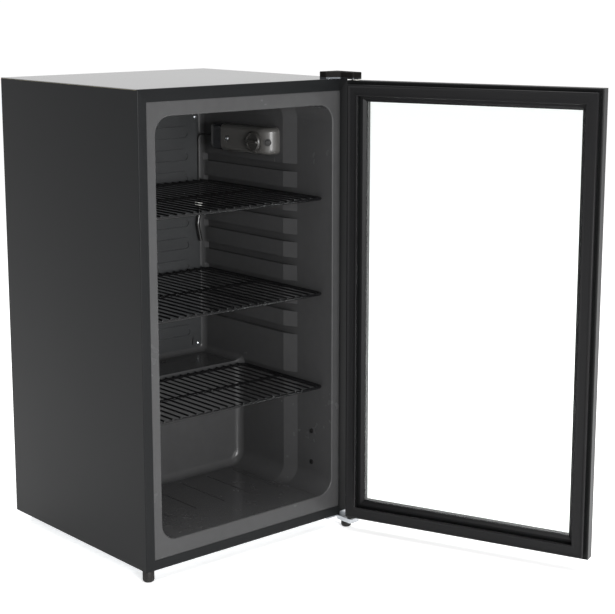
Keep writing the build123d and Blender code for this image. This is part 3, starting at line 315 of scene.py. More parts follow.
# Black anodised aluminium: satin, with die lines that run along each length.
ANODISED_RAIL = Finish(
    "anodised_aluminium_rail", "#090a0a", "#0f0f10", 0.34, 0.04, Grain.DRAWN, 2.0, 0.006,
    specular=0.11, stretch=(0.02, 1.0, 1.0), turn_deg=DOOR_TURN_DEG,
)
# The stiles' copy is painted a shade lighter than the rails', a painted sheen for the brighter look the
# stiles have in the light; the metal is the same.
ANODISED_STILE_PAINTED_LIGHT = Finish(
    "anodised_stile_painted_light", "#0b0c0c", "#111212", 0.34, 0.04, Grain.DRAWN, 2.0, 0.006,
    specular=0.14, stretch=(1.0, 1.0, 0.02), turn_deg=DOOR_TURN_DEG,
)
# Extruded soft PVC: even and waxy.
SOFT_PVC = Finish(
    "extruded_soft_pvc", "#0d0d0e", "#141415", 0.40, 0.05, Grain.DRAWN, 3.0, 0.02, specular=0.15,
)
# Injection-moulded ABS with a spark-eroded grain of about 0.3 mm, drawn at 1 mm so that it shows.
BLACK_ABS = Finish(
    "moulded_black_abs", "#151413", "#1d1c1a", 0.48, 0.05, Grain.MOULDED, 1.0, 0.03, specular=0.25,
)
# The control housing is the same plastic, with a finer, shinier grain; its paler grey-black is painted
# light, lifting it where the inner wall it sits on is shaded.
HOUSING_ABS_PAINTED_LIGHT = Finish(
    "housing_abs_painted_light", "#3d3c3b", "#494846", 0.30, 0.05, Grain.MOULDED, 1.0, 0.02, specular=0.5,
)
# The hinge cover is coarse and matt, so it stays dark even where it faces the light.
COVER_ABS = Finish(
    "moulded_cover_abs", "#0c0b0a", "#121110", 0.65, 0.05, Grain.MOULDED, 1.0, 0.03, specular=0.08,
)
# The turned knob is the housing's plastic too, in a darker batch.
KNOB_ABS = Finish(
    "moulded_knob_abs", "#282726", "#32312f", 0.36, 0.05, Grain.MOULDED, 1.0, 0.02, specular=0.5,
)
GLOSS_ABS = Finish(
    "polished_black_abs", "#141414", "#1b1b1b", 0.20, 0.04, Grain.MOULDED, 3.0, 0.008, specular=0.5,
)
WHITE_NYLON = Finish(
    "moulded_white_nylon", "#e4e3df", "#f0efec", 0.40, 0.05, Grain.MOULDED, 1.5, 0.02,
)
ACETAL = Finish("turned_acetal", "#dcdad2", "#ecebe6", 0.32, 0.04, Grain.DRAWN, 0.8, 0.01)
# Polyethylene dipped over steel wire: thick, smooth and slightly wavy.
DIPPED_WIRE = Finish(
    "polyethylene_dipped_wire", "#0c0c0d", "#131314", 0.22, 0.05, Grain.FORMED, 6.0, 0.06,
    specular=0.3,
)
ZINC_PLATE = Finish(
    "zinc_plated_steel", "#b4b7ba", "#cfd2d6", 0.30, 0.08, Grain.PLATED, 3.0, 0.01, metallic=1.0,
)
# The upper hinge bracket has a black passivate over its zinc.
BLACK_ZINC = Finish(
    "black_passivated_zinc", "#3c3e40", "#4b4d50", 0.42, 0.08, Grain.PLATED, 3.0, 0.01, metallic=1.0,
)
# Hot-dipped sheet: spangle crystals about 12 mm across.
GALVANISED = Finish(
    "galvanised_sheet", "#8d9396", "#aeb4b7", 0.42, 0.10, Grain.SPANGLE, 12.0, 0.01, metallic=1.0,
)
# Roll-bond aluminium with a black epoxy coat.
COATED_ALUMINIUM = Finish(
    "epoxy_coated_aluminium", "#2b2c2d", "#343536", 0.36, 0.05, Grain.POWDER, 7.0, 0.03, specular=0.4,
)
BLACK_ENAMEL = Finish(
    "black_stoving_enamel", "#0d0d0e", "#161618", 0.26, 0.06, Grain.POWDER, 3.0, 0.02, coat=0.4,
)
DARK_RUBBER = Finish(
    "moulded_rubber", "#121212", "#1c1c1c", 0.62, 0.06, Grain.MOULDED, 1.2, 0.04, specular=0.35,
)
# Drawn copper, gone brown in patches from brazing and handling.
DRAWN_COPPER = Finish(
    "drawn_copper", "#a8623f", "#c98a63", 0.32, 0.10, Grain.DRAWN, 6.0, 0.01, metallic=1.0,
)
RIGID_FOAM = Finish(
    "rigid_polyurethane_foam", "#d9cc9b", "#e6dcb4", 0.85, 0.05, Grain.FOAMED, 1.5, 0.2,
)
FERRITE = Finish("bonded_ferrite", "#2a2726", "#353130", 0.7, 0.05, Grain.MOULDED, 1.0, 0.02)
CIRCUIT_BOARD = Finish("masked_circuit_board", "#d7dad4", "#e6e8e3", 0.3, 0.05, Grain.MOULDED, 2.0, 0.01)
# Smoked polystyrene, see-through only where light is strong, so it reads as dark and glossy.
SMOKED_LENS = Finish(
    "smoked_polystyrene", "#131416", "#1b1c1f", 0.14, 0.04, Grain.FORMED, 5.0, 0.02, coat=0.3,
    coat_rough=0.05,
)
CLEAR_GLASS = GlassFinish("clear_toughened_glass", "#fcfefd", 0.012, 1.52)
SPACER_BAR = Finish("warm_edge_spacer", "#0f0f10", "#161617", 0.5, 0.05, Grain.MOULDED, 1.5, 0.02)

CAD_FINISHES: dict[str, AnyFinish] = {
    "outer_wrapper": POWDER_COATED_STEEL,
    "bottom_front_rail": POWDER_COATED_STEEL,
    "back_panel": GALVANISED,
    "base_plate": GALVANISED,
    "machine_bulkhead": GALVANISED,
    "rear_crossbar": GALVANISED,
    "cord_gland": DARK_RUBBER,
    "insulation_foam": RIGID_FOAM,
    "inner_liner": FORMED_POLYSTYRENE,
    "liner_plugs": GLOSS_ABS,
    "evaporator_plate": COATED_ALUMINIUM,
    "capillary_tube": DARK_RUBBER,
    "sensor_bulb": GLOSS_ABS,
    "bulb_clip": WHITE_NYLON,
    # The housing's paler colour is painted light, not the plastic's own.
    "control_housing": HOUSING_ABS_PAINTED_LIGHT,
    "lamp_lens": SMOKED_LENS,
    "lamp_board": CIRCUIT_BOARD,
    "housing_screw": ZINC_PLATE,
    "thermostat_body": BLACK_ABS,
    "thermostat_knob": KNOB_ABS,
    "thermostat_spindle": ACETAL,
    "switch_body": GLOSS_ABS,
    "switch_button": GLOSS_ABS,
    "compressor": BLACK_ENAMEL,
    "compressor_mounts": DARK_RUBBER,
    "relay_cover": BLACK_ABS,
    "drip_pan": BLACK_ABS,
    "drain_tube": BLACK_ABS,
    "filter_drier": DRAWN_COPPER,
    "discharge_tube": DRAWN_COPPER,
    "suction_tube": DRAWN_COPPER,
    "condenser_tube": BLACK_ENAMEL,
    "condenser_brackets": BLACK_ABS,
    "foot_nut": ZINC_PLATE,
    "rear_feet": DARK_RUBBER,
    "top_hinge_bracket": BLACK_ZINC,
    "top_hinge_cover": COVER_ABS,
    "bottom_hinge_bracket": ZINC_PLATE,
    "door_rail_bottom": ANODISED_RAIL,
    "door_rail_top": ANODISED_RAIL,
    # The stiles wear the lighter copy of the rails' anodising; the difference is painted light.
    "door_stile_free": ANODISED_STILE_PAINTED_LIGHT,
    "door_stile_hinge": ANODISED_STILE_PAINTED_LIGHT,
    "corner_keys": BLACK_ABS,
    "hinge_bush_bottom": ACETAL,
    "hinge_bush_top": ACETAL,
    "glass_outer": CLEAR_GLASS,
    "glass_inner": CLEAR_GLASS,
    "glass_spacer": SPACER_BAR,
    "glazing_bead": SOFT_PVC,
    "magnet_strips": FERRITE,
    "shelf_top": DIPPED_WIRE,
    "shelf_middle": DIPPED_WIRE,
    "shelf_bottom": DIPPED_WIRE,
    "condenser_wires": BLACK_ENAMEL,
    "door_gasket": SOFT_PVC,
    "front_left_foot": BLACK_ABS,
    "front_right_foot": BLACK_ABS,
    "evaporator_screws": ZINC_PLATE,
    "top_hinge_screws": ZINC_PLATE,
    "bottom_hinge_screws": ZINC_PLATE,
}


# ------------------------------------------------------------------ mesh making


@dataclass
class Draft:
    """A mesh being put together in the frame's own place, in metres.

    Attributes:
        mesh: The working bmesh.
    """

    mesh: bmesh.types.BMesh = field(default_factory=bmesh.new)

    def loft(self, rings: Sequence[Sequence[Point]], closed: bool = False, capped: bool = True) -> None:
        """Skin a row of rings with the same number of points.

        Args:
            rings: Each ring's points, in order round it.
            closed: Join the last ring to the first.
            capped: Close the first and last rings with faces.
        """
        made = [[self.mesh.verts.new(point) for point in ring] for ring in rings]
        pairs = list(zip(made, made[1:])) + ([(made[-1], made[0])] if closed else [])
        for near, far in pairs:
            for here in range(len(near)):
                there = (here + 1) % len(near)
                self.mesh.faces.new((near[here], near[there], far[there], far[here]))
        if capped and not closed:
            self.mesh.faces.new(list(reversed(made[0])))
            self.mesh.faces.new(made[-1])

    def lathe(self, profile: Sequence[tuple[float, float]], centre: Point, axis: Point,
              steps: int = 48) -> None:
        """Turn a profile of (radius, height) pairs about an axis; end radii of nought close it.

        Args:
            profile: Radius and height of each ring.
            centre: Point on the axis at height nought.
            axis: Direction of height.
            steps: Points round each ring.
        """
        turn = Vector(axis).normalized().to_track_quat("Z", "Y").to_matrix()
        rings = []
        for radius, height in profile:
            ring = []
            for step in range(steps):
                angle = 2 * math.pi * step / steps
                local = Vector((radius * math.cos(angle), radius * math.sin(angle), height))
                ring.append(Vector(centre) + turn @ local)
            rings.append(ring)
        self.loft(rings)

    def piece(self, name: str, finish: AnyFinish, smooth_deg: float = 35.0,
              bevel_mm: float = 0.0) -> bpy.types.Object:
        """Finish the draft as an object at the origin, with its material.

        Args:
            name: The piece's name.
            finish: The finish it wears.
            smooth_deg: Edges sharper than this stay sharp.
            bevel_mm: Width of rounding on sharp edges, nought for none.

        Returns:
            The finished object.
        """
        bmesh.ops.remove_doubles(self.mesh, verts=self.mesh.verts, dist=1e-6)
        bmesh.ops.recalc_face_normals(self.mesh, faces=self.mesh.faces)
        data = bpy.data.meshes.new(name)
        self.mesh.to_mesh(data)
        self.mesh.free()
        thing = bpy.data.objects.new(name, data)
        bpy.context.scene.collection.objects.link(thing)
        if bevel_mm:
            bevel = thing.modifiers.new("edge", "BEVEL")
            bevel.width = bevel_mm * MM
            bevel.segments = 3
            bevel.limit_method = "ANGLE"
            bevel.angle_limit = math.radians(40)
            bevel.harden_normals = False
            settle(thing)
        dress(thing, finish, smooth_deg)
        return thing


def settle(thing: bpy.types.Object) -> None:
    """Turn a piece's modifiers into plain mesh.

    Args:
        thing: The piece.
    """
    graph = bpy.context.evaluated_depsgraph_get()
    graph.update()
    baked = bpy.data.meshes.new_from_object(thing.evaluated_get(graph), depsgraph=graph)
    thing.modifiers.clear()
    thing.data = baked


def dress(thing: bpy.types.Object, finish: AnyFinish, smooth_deg: float = 35.0) -> None:
    """Give a piece its finish and its shading.

    Args:
        thing: The piece.
        finish: The finish it wears.
        smooth_deg: Edges sharper than this stay sharp.
    """
    thing.data.materials.clear()
    thing.data.materials.append(finish.make())
    thing.data.shade_smooth()
    thing.data.set_sharp_from_angle(angle=math.radians(smooth_deg))


def grow(tree: bpy.types.NodeTree, name: str, inputs: dict[str, Any],
         points: Iterable[Point] = ()) -> bpy.types.Object:
    """Run a geometry tree and keep its result as a plain mesh object.

    Args:
        tree: The geometry tree.
        name: Name of the finished object.
        inputs: Value of each named input.
        points: Vertices that the tree starts from.

    Returns:
        The finished object, at the origin, with no modifier.
    """
    seed = bpy.data.meshes.new(name + "_points")
    seed.from_pydata([tuple(point) for point in points], [], [])
    carrier = bpy.data.objects.new(name + "_carrier", seed)
    bpy.context.scene.collection.objects.link(carrier)
    modifier = carrier.modifiers.new("grow", "NODES")
    modifier.node_group = tree
    for item in tree.interface.items_tree:
        if item.item_type == "SOCKET" and item.in_out == "INPUT" and item.name in inputs:
            modifier[item.identifier] = inputs[item.name]
    graph = bpy.context.evaluated_depsgraph_get()
    graph.update()
    mesh = bpy.data.meshes.new_from_object(carrier.evaluated_get(graph), depsgraph=graph)
    bpy.data.objects.remove(carrier)
    bpy.data.meshes.remove(seed)
    mesh.name = name
    thing = bpy.data.objects.new(name, mesh)
    bpy.context.scene.collection.objects.link(thing)
    return thing


def start_tree(name: str, sockets: dict[str, tuple[str, Any]],
               ) -> tuple[bpy.types.NodeTree, bpy.types.Node]:
    """Begin a geometry tree with named inputs and one geometry output.

    Args:
        name: The tree's name.
        sockets: Socket type and default value of each named input.

    Returns:
        The tree, and its group input node.
    """
    tree = bpy.data.node_groups.new(name, "GeometryNodeTree")
    tree.interface.new_socket(name="Geometry", in_out="INPUT", socket_type="NodeSocketGeometry")
    for label, (kind, default) in sockets.items():
        socket = tree.interface.new_socket(name=label, in_out="INPUT", socket_type=kind)
        if default is not None:
            socket.default_value = default
    tree.interface.new_socket(name="Geometry", in_out="OUTPUT", socket_type="NodeSocketGeometry")
    return tree, add_node(tree, "NodeGroupInput")


def end_tree(tree: bpy.types.NodeTree, geometry: bpy.types.NodeSocket,
             material: bpy.types.NodeSocket) -> None:
    """Close a geometry tree: realise its instances, then set the material.

    Args:
        tree: The tree.
        geometry: The socket that carries the shape.
        material: The socket that carries the material.
    """
    real = add_node(tree, "GeometryNodeRealizeInstances", None, {0: geometry})
    worn = add_node(
        tree, "GeometryNodeSetMaterial", None, {"Geometry": real.outputs[0], "Material": material}
    )
    add_node(tree, "NodeGroupOutput", None, {0: worn.outputs[0]})


FLOAT = "NodeSocketFloat"
INTEGER = "NodeSocketInt"
VECTOR = "NodeSocketVector"
MATERIAL = "NodeSocketMaterial"
OBJECT = "NodeSocketObject"


def rack_tree() -> bpy.types.NodeTree:
    """Make the tree that builds a wire rack: a bent rim, long wires over it and a cross bar.

    Returns:
        The geometry tree.
    """
    tree, given = start_tree("wire_rack", {
        "Width": (FLOAT, 0.37), "Depth": (FLOAT, 0.34), "Corner": (FLOAT, 0.012),
        "Rim Radius": (FLOAT, 0.0025), "Wire Radius": (FLOAT, 0.0016), "Gaps": (INTEGER, 22),
        "Lift": (FLOAT, 0.0033), "Place": (VECTOR, (0.0, 0.0, 0.0)), "Material": (MATERIAL, None),
    })
    out = given.outputs
    loop = add_node(
        tree, "GeometryNodeCurvePrimitiveQuadrilateral", None,
        {"Width": out["Width"], "Height": out["Depth"]},
    )
    bent = add_node(
        tree, "GeometryNodeFilletCurve", {"Count": 8},
        {"Curve": loop.outputs[0], "Radius": out["Corner"]}, mode="POLY",
    )
    rim_section = add_node(
        tree, "GeometryNodeCurvePrimitiveCircle", {"Resolution": 16}, {"Radius": out["Rim Radius"]}
    )
    rim = add_node(
        tree, "GeometryNodeCurveToMesh", None,
        {"Curve": bent.outputs[0], "Profile Curve": rim_section.outputs[0]},
    )
    half = add_node(tree, "ShaderNodeMath", {1: -0.5}, {0: out["Width"]}, operation="MULTIPLY")
    gaps = add_node(
        tree, "ShaderNodeMath", None, {0: out["Width"], 1: out["Gaps"]}, operation="DIVIDE"
    )
    first = add_node(
        tree, "ShaderNodeMath", None, {0: half.outputs[0], 1: gaps.outputs[0]}, operation="ADD"
    )
    start = add_node(
        tree, "ShaderNodeCombineXYZ", None, {"X": first.outputs[0], "Z": out["Lift"]}
    )
    step = add_node(tree, "ShaderNodeCombineXYZ", None, {"X": gaps.outputs[0]})
    count = add_node(tree, "ShaderNodeMath", {1: 1.0}, {0: out["Gaps"]}, operation="SUBTRACT")
    row = add_node(
        tree, "GeometryNodeMeshLine", None,
        {"Count": count.outputs[0], "Start Location": start.outputs[0], "Offset": step.outputs[0]},
        mode="OFFSET",
    )
    reach = add_node(tree, "ShaderNodeMath", {1: 0.0022}, {0: out["Depth"]}, operation="ADD")
    rod = add_node(
        tree, "GeometryNodeMeshCylinder", {"Vertices": 12, "Side Segments": 1},
        {"Radius": out["Wire Radius"], "Depth": reach.outputs[0]},
    )
    rods = add_node(
        tree, "GeometryNodeInstanceOnPoints", {"Rotation": (math.radians(90), 0.0, 0.0)},
        {"Points": row.outputs[0], "Instance": rod.outputs["Mesh"]},
    )
    bar = add_node(
        tree, "GeometryNodeMeshCylinder", {"Vertices": 16},
        {"Radius": out["Rim Radius"], "Depth": out["Width"]},
    )
    laid = add_node(
        tree, "GeometryNodeTransform", {"Rotation": (0.0, math.radians(90), 0.0)},
        {"Geometry": bar.outputs["Mesh"]},
    )
    joined = add_node(tree, "GeometryNodeJoinGeometry")
    for source in (laid.outputs[0], rods.outputs[0], rim.outputs[0]):
        tree.links.new(source, joined.inputs[0])
    placed = add_node(
        tree, "GeometryNodeTransform", None, {"Geometry": joined.outputs[0], "Translation": out["Place"]}
    )
    end_tree(tree, placed.outputs[0], out["Material"])
    return tree


def ribs_tree() -> bpy.types.NodeTree:
    """Make the tree that stands round ribs side by side round a circle.

    Returns:
        The geometry tree.
    """
    tree, given = start_tree("rib_ring", {
        "Radius": (FLOAT, 0.01), "Rib Radius": (FLOAT, 0.0006), "Length": (FLOAT, 0.01),
        "Count": (INTEGER, 24), "Place": (VECTOR, (0.0, 0.0, 0.0)),
        "Turn": (VECTOR, (0.0, 0.0, 0.0)), "Material": (MATERIAL, None),
    })
    out = given.outputs
    circle = add_node(
        tree, "GeometryNodeMeshCircle", None, {"Vertices": out["Count"], "Radius": out["Radius"]}
    )
    rib = add_node(
        tree, "GeometryNodeMeshCylinder", {"Vertices": 8, "Side Segments": 1},
        {"Radius": out["Rib Radius"], "Depth": out["Length"]},
    )
    ribs = add_node(
        tree, "GeometryNodeInstanceOnPoints", None,
        {"Points": circle.outputs[0], "Instance": rib.outputs["Mesh"]},
    )
    placed = add_node(
        tree, "GeometryNodeTransform", None,
        {"Geometry": ribs.outputs[0], "Translation": out["Place"], "Rotation": out["Turn"]},
    )
    end_tree(tree, placed.outputs[0], out["Material"])
    return tree


def fastener_tree() -> bpy.types.NodeTree:
    """Make the tree that sets one fastener on every point, each turned by its own angle.

    Returns:
        The geometry tree.
    """
    tree, given = start_tree("fasteners", {
        "Fastener": (OBJECT, None), "Turn": (VECTOR, (0.0, 0.0, 0.0)), "Seed": (INTEGER, 3),
        "Material": (MATERIAL, None),
    })
    out = given.outputs
    shape = add_node(tree, "GeometryNodeObjectInfo", None, {"Object": out["Fastener"]})
    spin = add_node(
        tree, "FunctionNodeRandomValue", {2: 0.0, 3: 6.28}, {"Seed": out["Seed"]}, data_type="FLOAT"
    )
    about = add_node(tree, "ShaderNodeCombineXYZ", None, {"Z": spin.outputs[1]})
    heads = add_node(
        tree, "GeometryNodeInstanceOnPoints", None,
        {"Points": out["Geometry"], "Instance": shape.outputs["Geometry"], "Rotation": out["Turn"]},
    )
    spun = add_node(
        tree, "GeometryNodeRotateInstances", None,
        {"Instances": heads.outputs[0], "Rotation": about.outputs[0]},
    )
    end_tree(tree, spun.outputs[0], out["Material"])
    return tree


def lines_tree() -> bpy.types.NodeTree:
    """Make the tree that stands two ranks of thin wires, one each side of a tube.

    Returns:
        The geometry tree.
    """
    tree, given = start_tree("condenser_wires", {
        "Radius": (FLOAT, 0.0008), "Height": (FLOAT, 0.48), "Count": (INTEGER, 24),
        "Start": (VECTOR, (0.0, 0.0, 0.0)), "Step": (VECTOR, (0.01, 0.0, 0.0)),
        "Back": (VECTOR, (0.0, 0.006, 0.0)), "Material": (MATERIAL, None),
    })
    out = given.outputs
    row = add_node(
        tree, "GeometryNodeMeshLine", None,
        {"Count": out["Count"], "Start Location": out["Start"], "Offset": out["Step"]}, mode="OFFSET",
    )
    other = add_node(
        tree, "GeometryNodeTransform", None, {"Geometry": row.outputs[0], "Translation": out["Back"]}
    )
    both = add_node(tree, "GeometryNodeJoinGeometry")
    for source in (other.outputs[0], row.outputs[0]):
        tree.links.new(source, both.inputs[0])
    wire = add_node(
        tree, "GeometryNodeMeshCylinder", {"Vertices": 8, "Side Segments": 1},
        {"Radius": out["Radius"], "Depth": out["Height"]},
    )
    wires = add_node(
        tree, "GeometryNodeInstanceOnPoints", None,
        {"Points": both.outputs[0], "Instance": wire.outputs["Mesh"]},
    )
    end_tree(tree, wires.outputs[0], out["Material"])
    return tree


# ------------------------------------------------------------------ sub-assemblies


@dataclass
class Shelf:
    """One dipped wire shelf.

    Attributes:
        name: The CAD node and body it stands for.
        rim_mm: Diameter of the rim wire.
        wire_mm: Diameter of the long wires.
        gaps: Spaces between long wires.
    """

    name: str
    rim_mm: float = 5.0
    wire_mm: float = 3.2
    gaps: int = 22

    def build(self, tree: bpy.types.NodeTree) -> None:
        """Build the rack in its CAD node's place and hang it on the shelf's body.

        Args:
            tree: The wire rack tree.
        """
        low, high = (Vector(corner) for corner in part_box(self.name))
        rim = self.rim_mm / 2 * MM
        wire = self.wire_mm / 2 * MM
        centre = Vector(((low.x + high.x) / 2, (low.y + high.y) / 2, low.z + rim))
        rack = grow(tree, self.name + "_rack", {
            "Width": high.x - low.x - 2 * rim,
            "Depth": high.y - low.y - 2 * rim,
            "Rim Radius": rim,
            "Wire Radius": wire,
            "Gaps": self.gaps,
            "Lift": rim + wire - 0.8 * MM,
            "Place": centre,
            "Material": DIPPED_WIRE.make(),
        })
        dress(rack, DIPPED_WIRE, 45.0)
        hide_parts(self.name)
        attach(rack, self.name)
        LOG.info("%s: rack of %d long wires", self.name, self.gaps - 1)


@dataclass
class Fasteners:
    """Cross-recess screws, one pattern used wherever the sheet work is held.

    Attributes:
        head_mm: Diameter of the head.
        height_mm: Height of the head.
        recess_mm: Length of each arm of the recess.
        arm_mm: Width of each arm.
        depth_mm: Depth of the recess.
        rings: Shares of the head's radius and height, from its seat up to its crown.
    """

    head_mm: float = 8.0
    height_mm: float = 2.4
    recess_mm: float = 2.2
    arm_mm: float = 0.55
    depth_mm: float = 1.0
    rings: tuple[tuple[float, float], ...] = (
        (1.0, 0.0), (1.0, 0.3), (0.94, 0.55), (0.78, 0.82), (0.6, 0.96),
    )

    def pattern(self) -> bpy.types.Object:
        """Model one screw head, with its seat at the origin and its crown along Z.

        Returns:
            The pattern object, to be removed once it has been copied.
        """
        cross = self._cross()
        radius = self.head_mm / 2 * MM
        rise = self.height_mm * MM
        rings = []
        for share, height in self.rings:
            ring = []
            for x, y in cross:
                angle = math.atan2(y, x)
                out = radius * share
                ring.append((out * math.cos(angle), out * math.sin(angle), rise * height))
            rings.append(ring)
        rings.append([(x * MM, y * MM, rise) for x, y in cross])
        rings.append([(x * MM * 0.7, y * MM * 0.7, rise - self.depth_mm * MM) for x, y in cross])
        draft = Draft()
        draft.loft(rings)
        return draft.piece("screw_pattern", ZINC_PLATE, 30.0)

    def _cross(self) -> list[tuple[float, float]]:
        """Return the twelve corners of the recess, in millimetres, in order round it."""
        reach, arm = self.recess_mm, self.arm_mm
        quarter = [(reach, -arm), (reach, arm), (arm, arm)]
        corners = []
        for turn in range(4):
            angle = turn * math.pi / 2
            for x, y in quarter:
                corners.append((
                    x * math.cos(angle) - y * math.sin(angle),
                    x * math.sin(angle) + y * math.cos(angle),
                ))
        return corners

    def place(self, tree: bpy.types.NodeTree, name: str, body: str, points: Sequence[Point],
              turn: Point, replaced: Sequence[str]) -> None:
        """Set screws on points.

        Args:
            tree: The fastener tree.
            name: Name of the finished group.
            body: The body it rides on.
            points: Seat of each screw.
            turn: Turn that takes Z to the screws' direction.
            replaced: CAD nodes that the group stands for.
        """
        pattern = self.pattern()
        group = grow(tree, name, {
            "Fastener": pattern, "Turn": turn, "Material": ZINC_PLATE.make(),
        }, points)
        bpy.data.objects.remove(pattern)
        dress(group, ZINC_PLATE, 30.0)
        if replaced:
            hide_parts(*replaced)
        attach(group, body)
        LOG.info("%s: %d screws", name, len(points))


@dataclass
class Wrapper:
    """The painted steel round the cabinet: two folded sides and a folded top, mitred in front.

    Attributes:
        sheet_mm: Thickness of the sheet.
        side_mm: Width of the front returns at the sides.
        top_mm: Height of the front return at the top.
        fold_mm: Outside radius of the front folds.
        gap_mm: Opening of the mitre joint.
    """

    sheet_mm: float = 1.0
    side_mm: float = 17.4
    top_mm: float = 21.0
    fold_mm: float = 1.6
    gap_mm: float = 1.0

    def build(self) -> None:
        """Fold the three sheets in the CAD wrapper's place."""
        low, high = (Vector(corner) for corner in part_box("outer_wrapper"))
        for name, hand in (("left", -1), ("right", 1)):
            draft = Draft()
            draft.loft(self._side(low, high, hand))
            side = draft.piece(f"cabinet_{name}_side", POWDER_COATED_STEEL, 30.0)
            if hand < 0:
                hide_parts("outer_wrapper")
            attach(side, "cabinet")
        draft = Draft()
        draft.loft(self._top_return(low, high))
        front = draft.piece("cabinet_top_return", POWDER_COATED_STEEL, 30.0)
        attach(front, "cabinet")
        draft = Draft()
        draft.loft(self._top_sheet(low, high))
        # The top sheet's colour, lighter than the sides', is a painted sheen.
        top = draft.piece("cabinet_top_sheet", TOP_SHEET_PAINTED_SHEEN, 30.0)
        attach(top, "cabinet")
        LOG.info("cabinet wrapper: two sides, a top and its front return")

    def _section(self, reach: float, depth: float) -> list[tuple[float, float]]:
        """Draw the folded section: a front return, a rounded fold and, past it, a long leg.

        Args:
            reach: Length of the front return.
            depth: Length of the long leg, from the front; no more than the fold for no leg.

        Returns:
            Points as (distance in from the outer face, distance back from the front).
        """
        sheet, fold = self.sheet_mm * MM, self.fold_mm * MM
        points = [(reach, sheet), (reach, 0.0)]
        for step in range(ARC_STEPS + 1):
            angle = math.pi / 2 * step / ARC_STEPS
            points.append((fold - fold * math.sin(angle), fold - fold * math.cos(angle)))
        if depth > fold:
            points += [(0.0, depth), (sheet, depth)]
        inner = fold - sheet
        for step in range(ARC_STEPS + 1):
            angle = math.pi / 2 * (ARC_STEPS - step) / ARC_STEPS
            points.append((fold - inner * math.sin(angle), fold - inner * math.cos(angle)))
        return points

    def _side(self, low: Vector, high: Vector, hand: int) -> list[list[Point]]:
        """Give the end rings of one side sheet.

        Args:
            low: Lowest corner of the wrapper.
            high: Highest corner of the wrapper.
            hand: Minus one for the left side, one for the right.

        Returns:
            The bottom ring and the mitred top ring.
        """
        slope = self.top_mm / self.side_mm
        foot, head = [], []
        for inward, back in self._section(self.side_mm * MM, high.y - low.y):
            x = hand * (high.x - inward)
            foot.append((x, low.y + back, low.z))
            drop = max(inward * slope, self.sheet_mm * MM) + self.gap_mm / 2 * MM
            head.append((x, low.y + back, high.z - drop))
        return [foot, head]

    def _top_return(self, low: Vector, high: Vector) -> list[list[Point]]:
        """Give the end rings of the top's front return, mitred at both ends.

        Args:
            low: Lowest corner of the wrapper.
            high: Highest corner of the wrapper.

        Returns:
            The left ring and the right ring.
        """
        slope = self.side_mm / self.top_mm
        left, right = [], []
        for drop, back in self._section(self.top_mm * MM, 0.0):
            inset = max(drop - self.sheet_mm * MM, 0.0) * slope
            inset += self.gap_mm / 2 * MM if drop > self.sheet_mm * MM else 0.0
            left.append((low.x + inset, low.y + back, high.z - drop))
            right.append((high.x - inset, low.y + back, high.z - drop))
        return [left, right]

    def _top_sheet(self, low: Vector, high: Vector) -> list[list[Point]]:
        """Give the end rings of the flat top, from the fold to the back.

        Args:
            low: Lowest corner of the wrapper.
            high: Highest corner of the wrapper.

        Returns:
            The left ring and the right ring.
        """
        start = low.y + self.fold_mm * MM
        under = high.z - self.sheet_mm * MM
        section = [(start, high.z), (high.y, high.z), (high.y, under), (start, under)]
        return [[(x, y, z) for y, z in section] for x in (low.x, high.x)]


@dataclass
class DoorPlace:
    """Door coordinates: along the width from the hinge edge, up, and in through the thickness.

    Attributes:
        width: Width of the door.
        height: Height of the door.
        open_deg: Angle the door stands open by.
        hinge_inset: Distance of the pin from the hinge edge.
        hinge_depth: Distance of the pin from the outer face.
    """

    width: float = 0.459
    height: float = 0.796
    open_deg: float = DOOR_OPEN_DEG
    hinge_inset: float = 0.011
    hinge_depth: float = 0.0089

    def point(self, along: float, up: float, inwards: float) -> Vector:
        """Turn door coordinates into the frame's.

        Args:
            along: Distance from the hinge edge.
            up: Distance from the bottom edge.
            inwards: Distance from the outer face.

        Returns:
            The point in the frame.
        """
        pin = next(joint for joint in frame["joints"] if joint["name"] == "door_hinge")["pos_m"]
        foot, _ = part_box("door_stile_hinge")
        swing = math.radians(self.open_deg)
        across = Vector((-math.cos(swing), -math.sin(swing), 0.0))
        inward = Vector((-math.sin(swing), math.cos(swing), 0.0))
        edge = Vector((pin[0], pin[1], foot[2])) - across * self.hinge_inset
        origin = edge - inward * self.hinge_depth
        return origin + across * along + Vector((0.0, 0.0, up)) + inward * inwards


@dataclass
class Gasket:
    """The magnetic door seal: bellows sides under a flat face with a bead along each edge, mitred at the
    corners.

    Attributes:
        place: The door's coordinates.
        profile_mm: Inset from the door edge, and height above the frame, round the section.
    """

    place: DoorPlace
    profile_mm: tuple[tuple[float, float], ...] = (
        (8.4, 22.0), (8.2, 24.0), (7.0, 25.4), (6.5, 27.6), (7.2, 29.8), (6.3, 31.4), (6.1, 33.4),
        (6.7, 34.7), (7.9, 35.25), (9.1, 34.9), (9.9, 34.3), (12.0, 34.1), (16.0, 34.1),
        (20.0, 34.1), (22.2, 34.3), (23.0, 34.9), (24.2, 35.25), (25.3, 34.7), (25.9, 33.4),
        (25.7, 31.4), (24.6, 29.6), (24.9, 27.2), (24.2, 25.2), (23.0, 24.0), (22.8, 22.0),
    )

    def build(self) -> None:
        """Sweep the section round the door and hang it on the door's body."""
        place = self.place
        rings = []
        for inset_mm, height_mm in self.profile_mm:
            inset = inset_mm * MM
            height = height_mm * MM
            corners = [
                (inset, inset), (place.width - inset, inset),
                (place.width - inset, place.height - inset), (inset, place.height - inset),
            ]
            rings.append([place.point(along, up, height) for along, up in corners])
        draft = Draft()
        draft.loft(rings, closed=True)
        seal = draft.piece("door_seal", SOFT_PVC, 50.0)
        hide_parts("door_gasket")
        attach(seal, "door")
        LOG.info("door_seal: section of %d points", len(self.profile_mm))


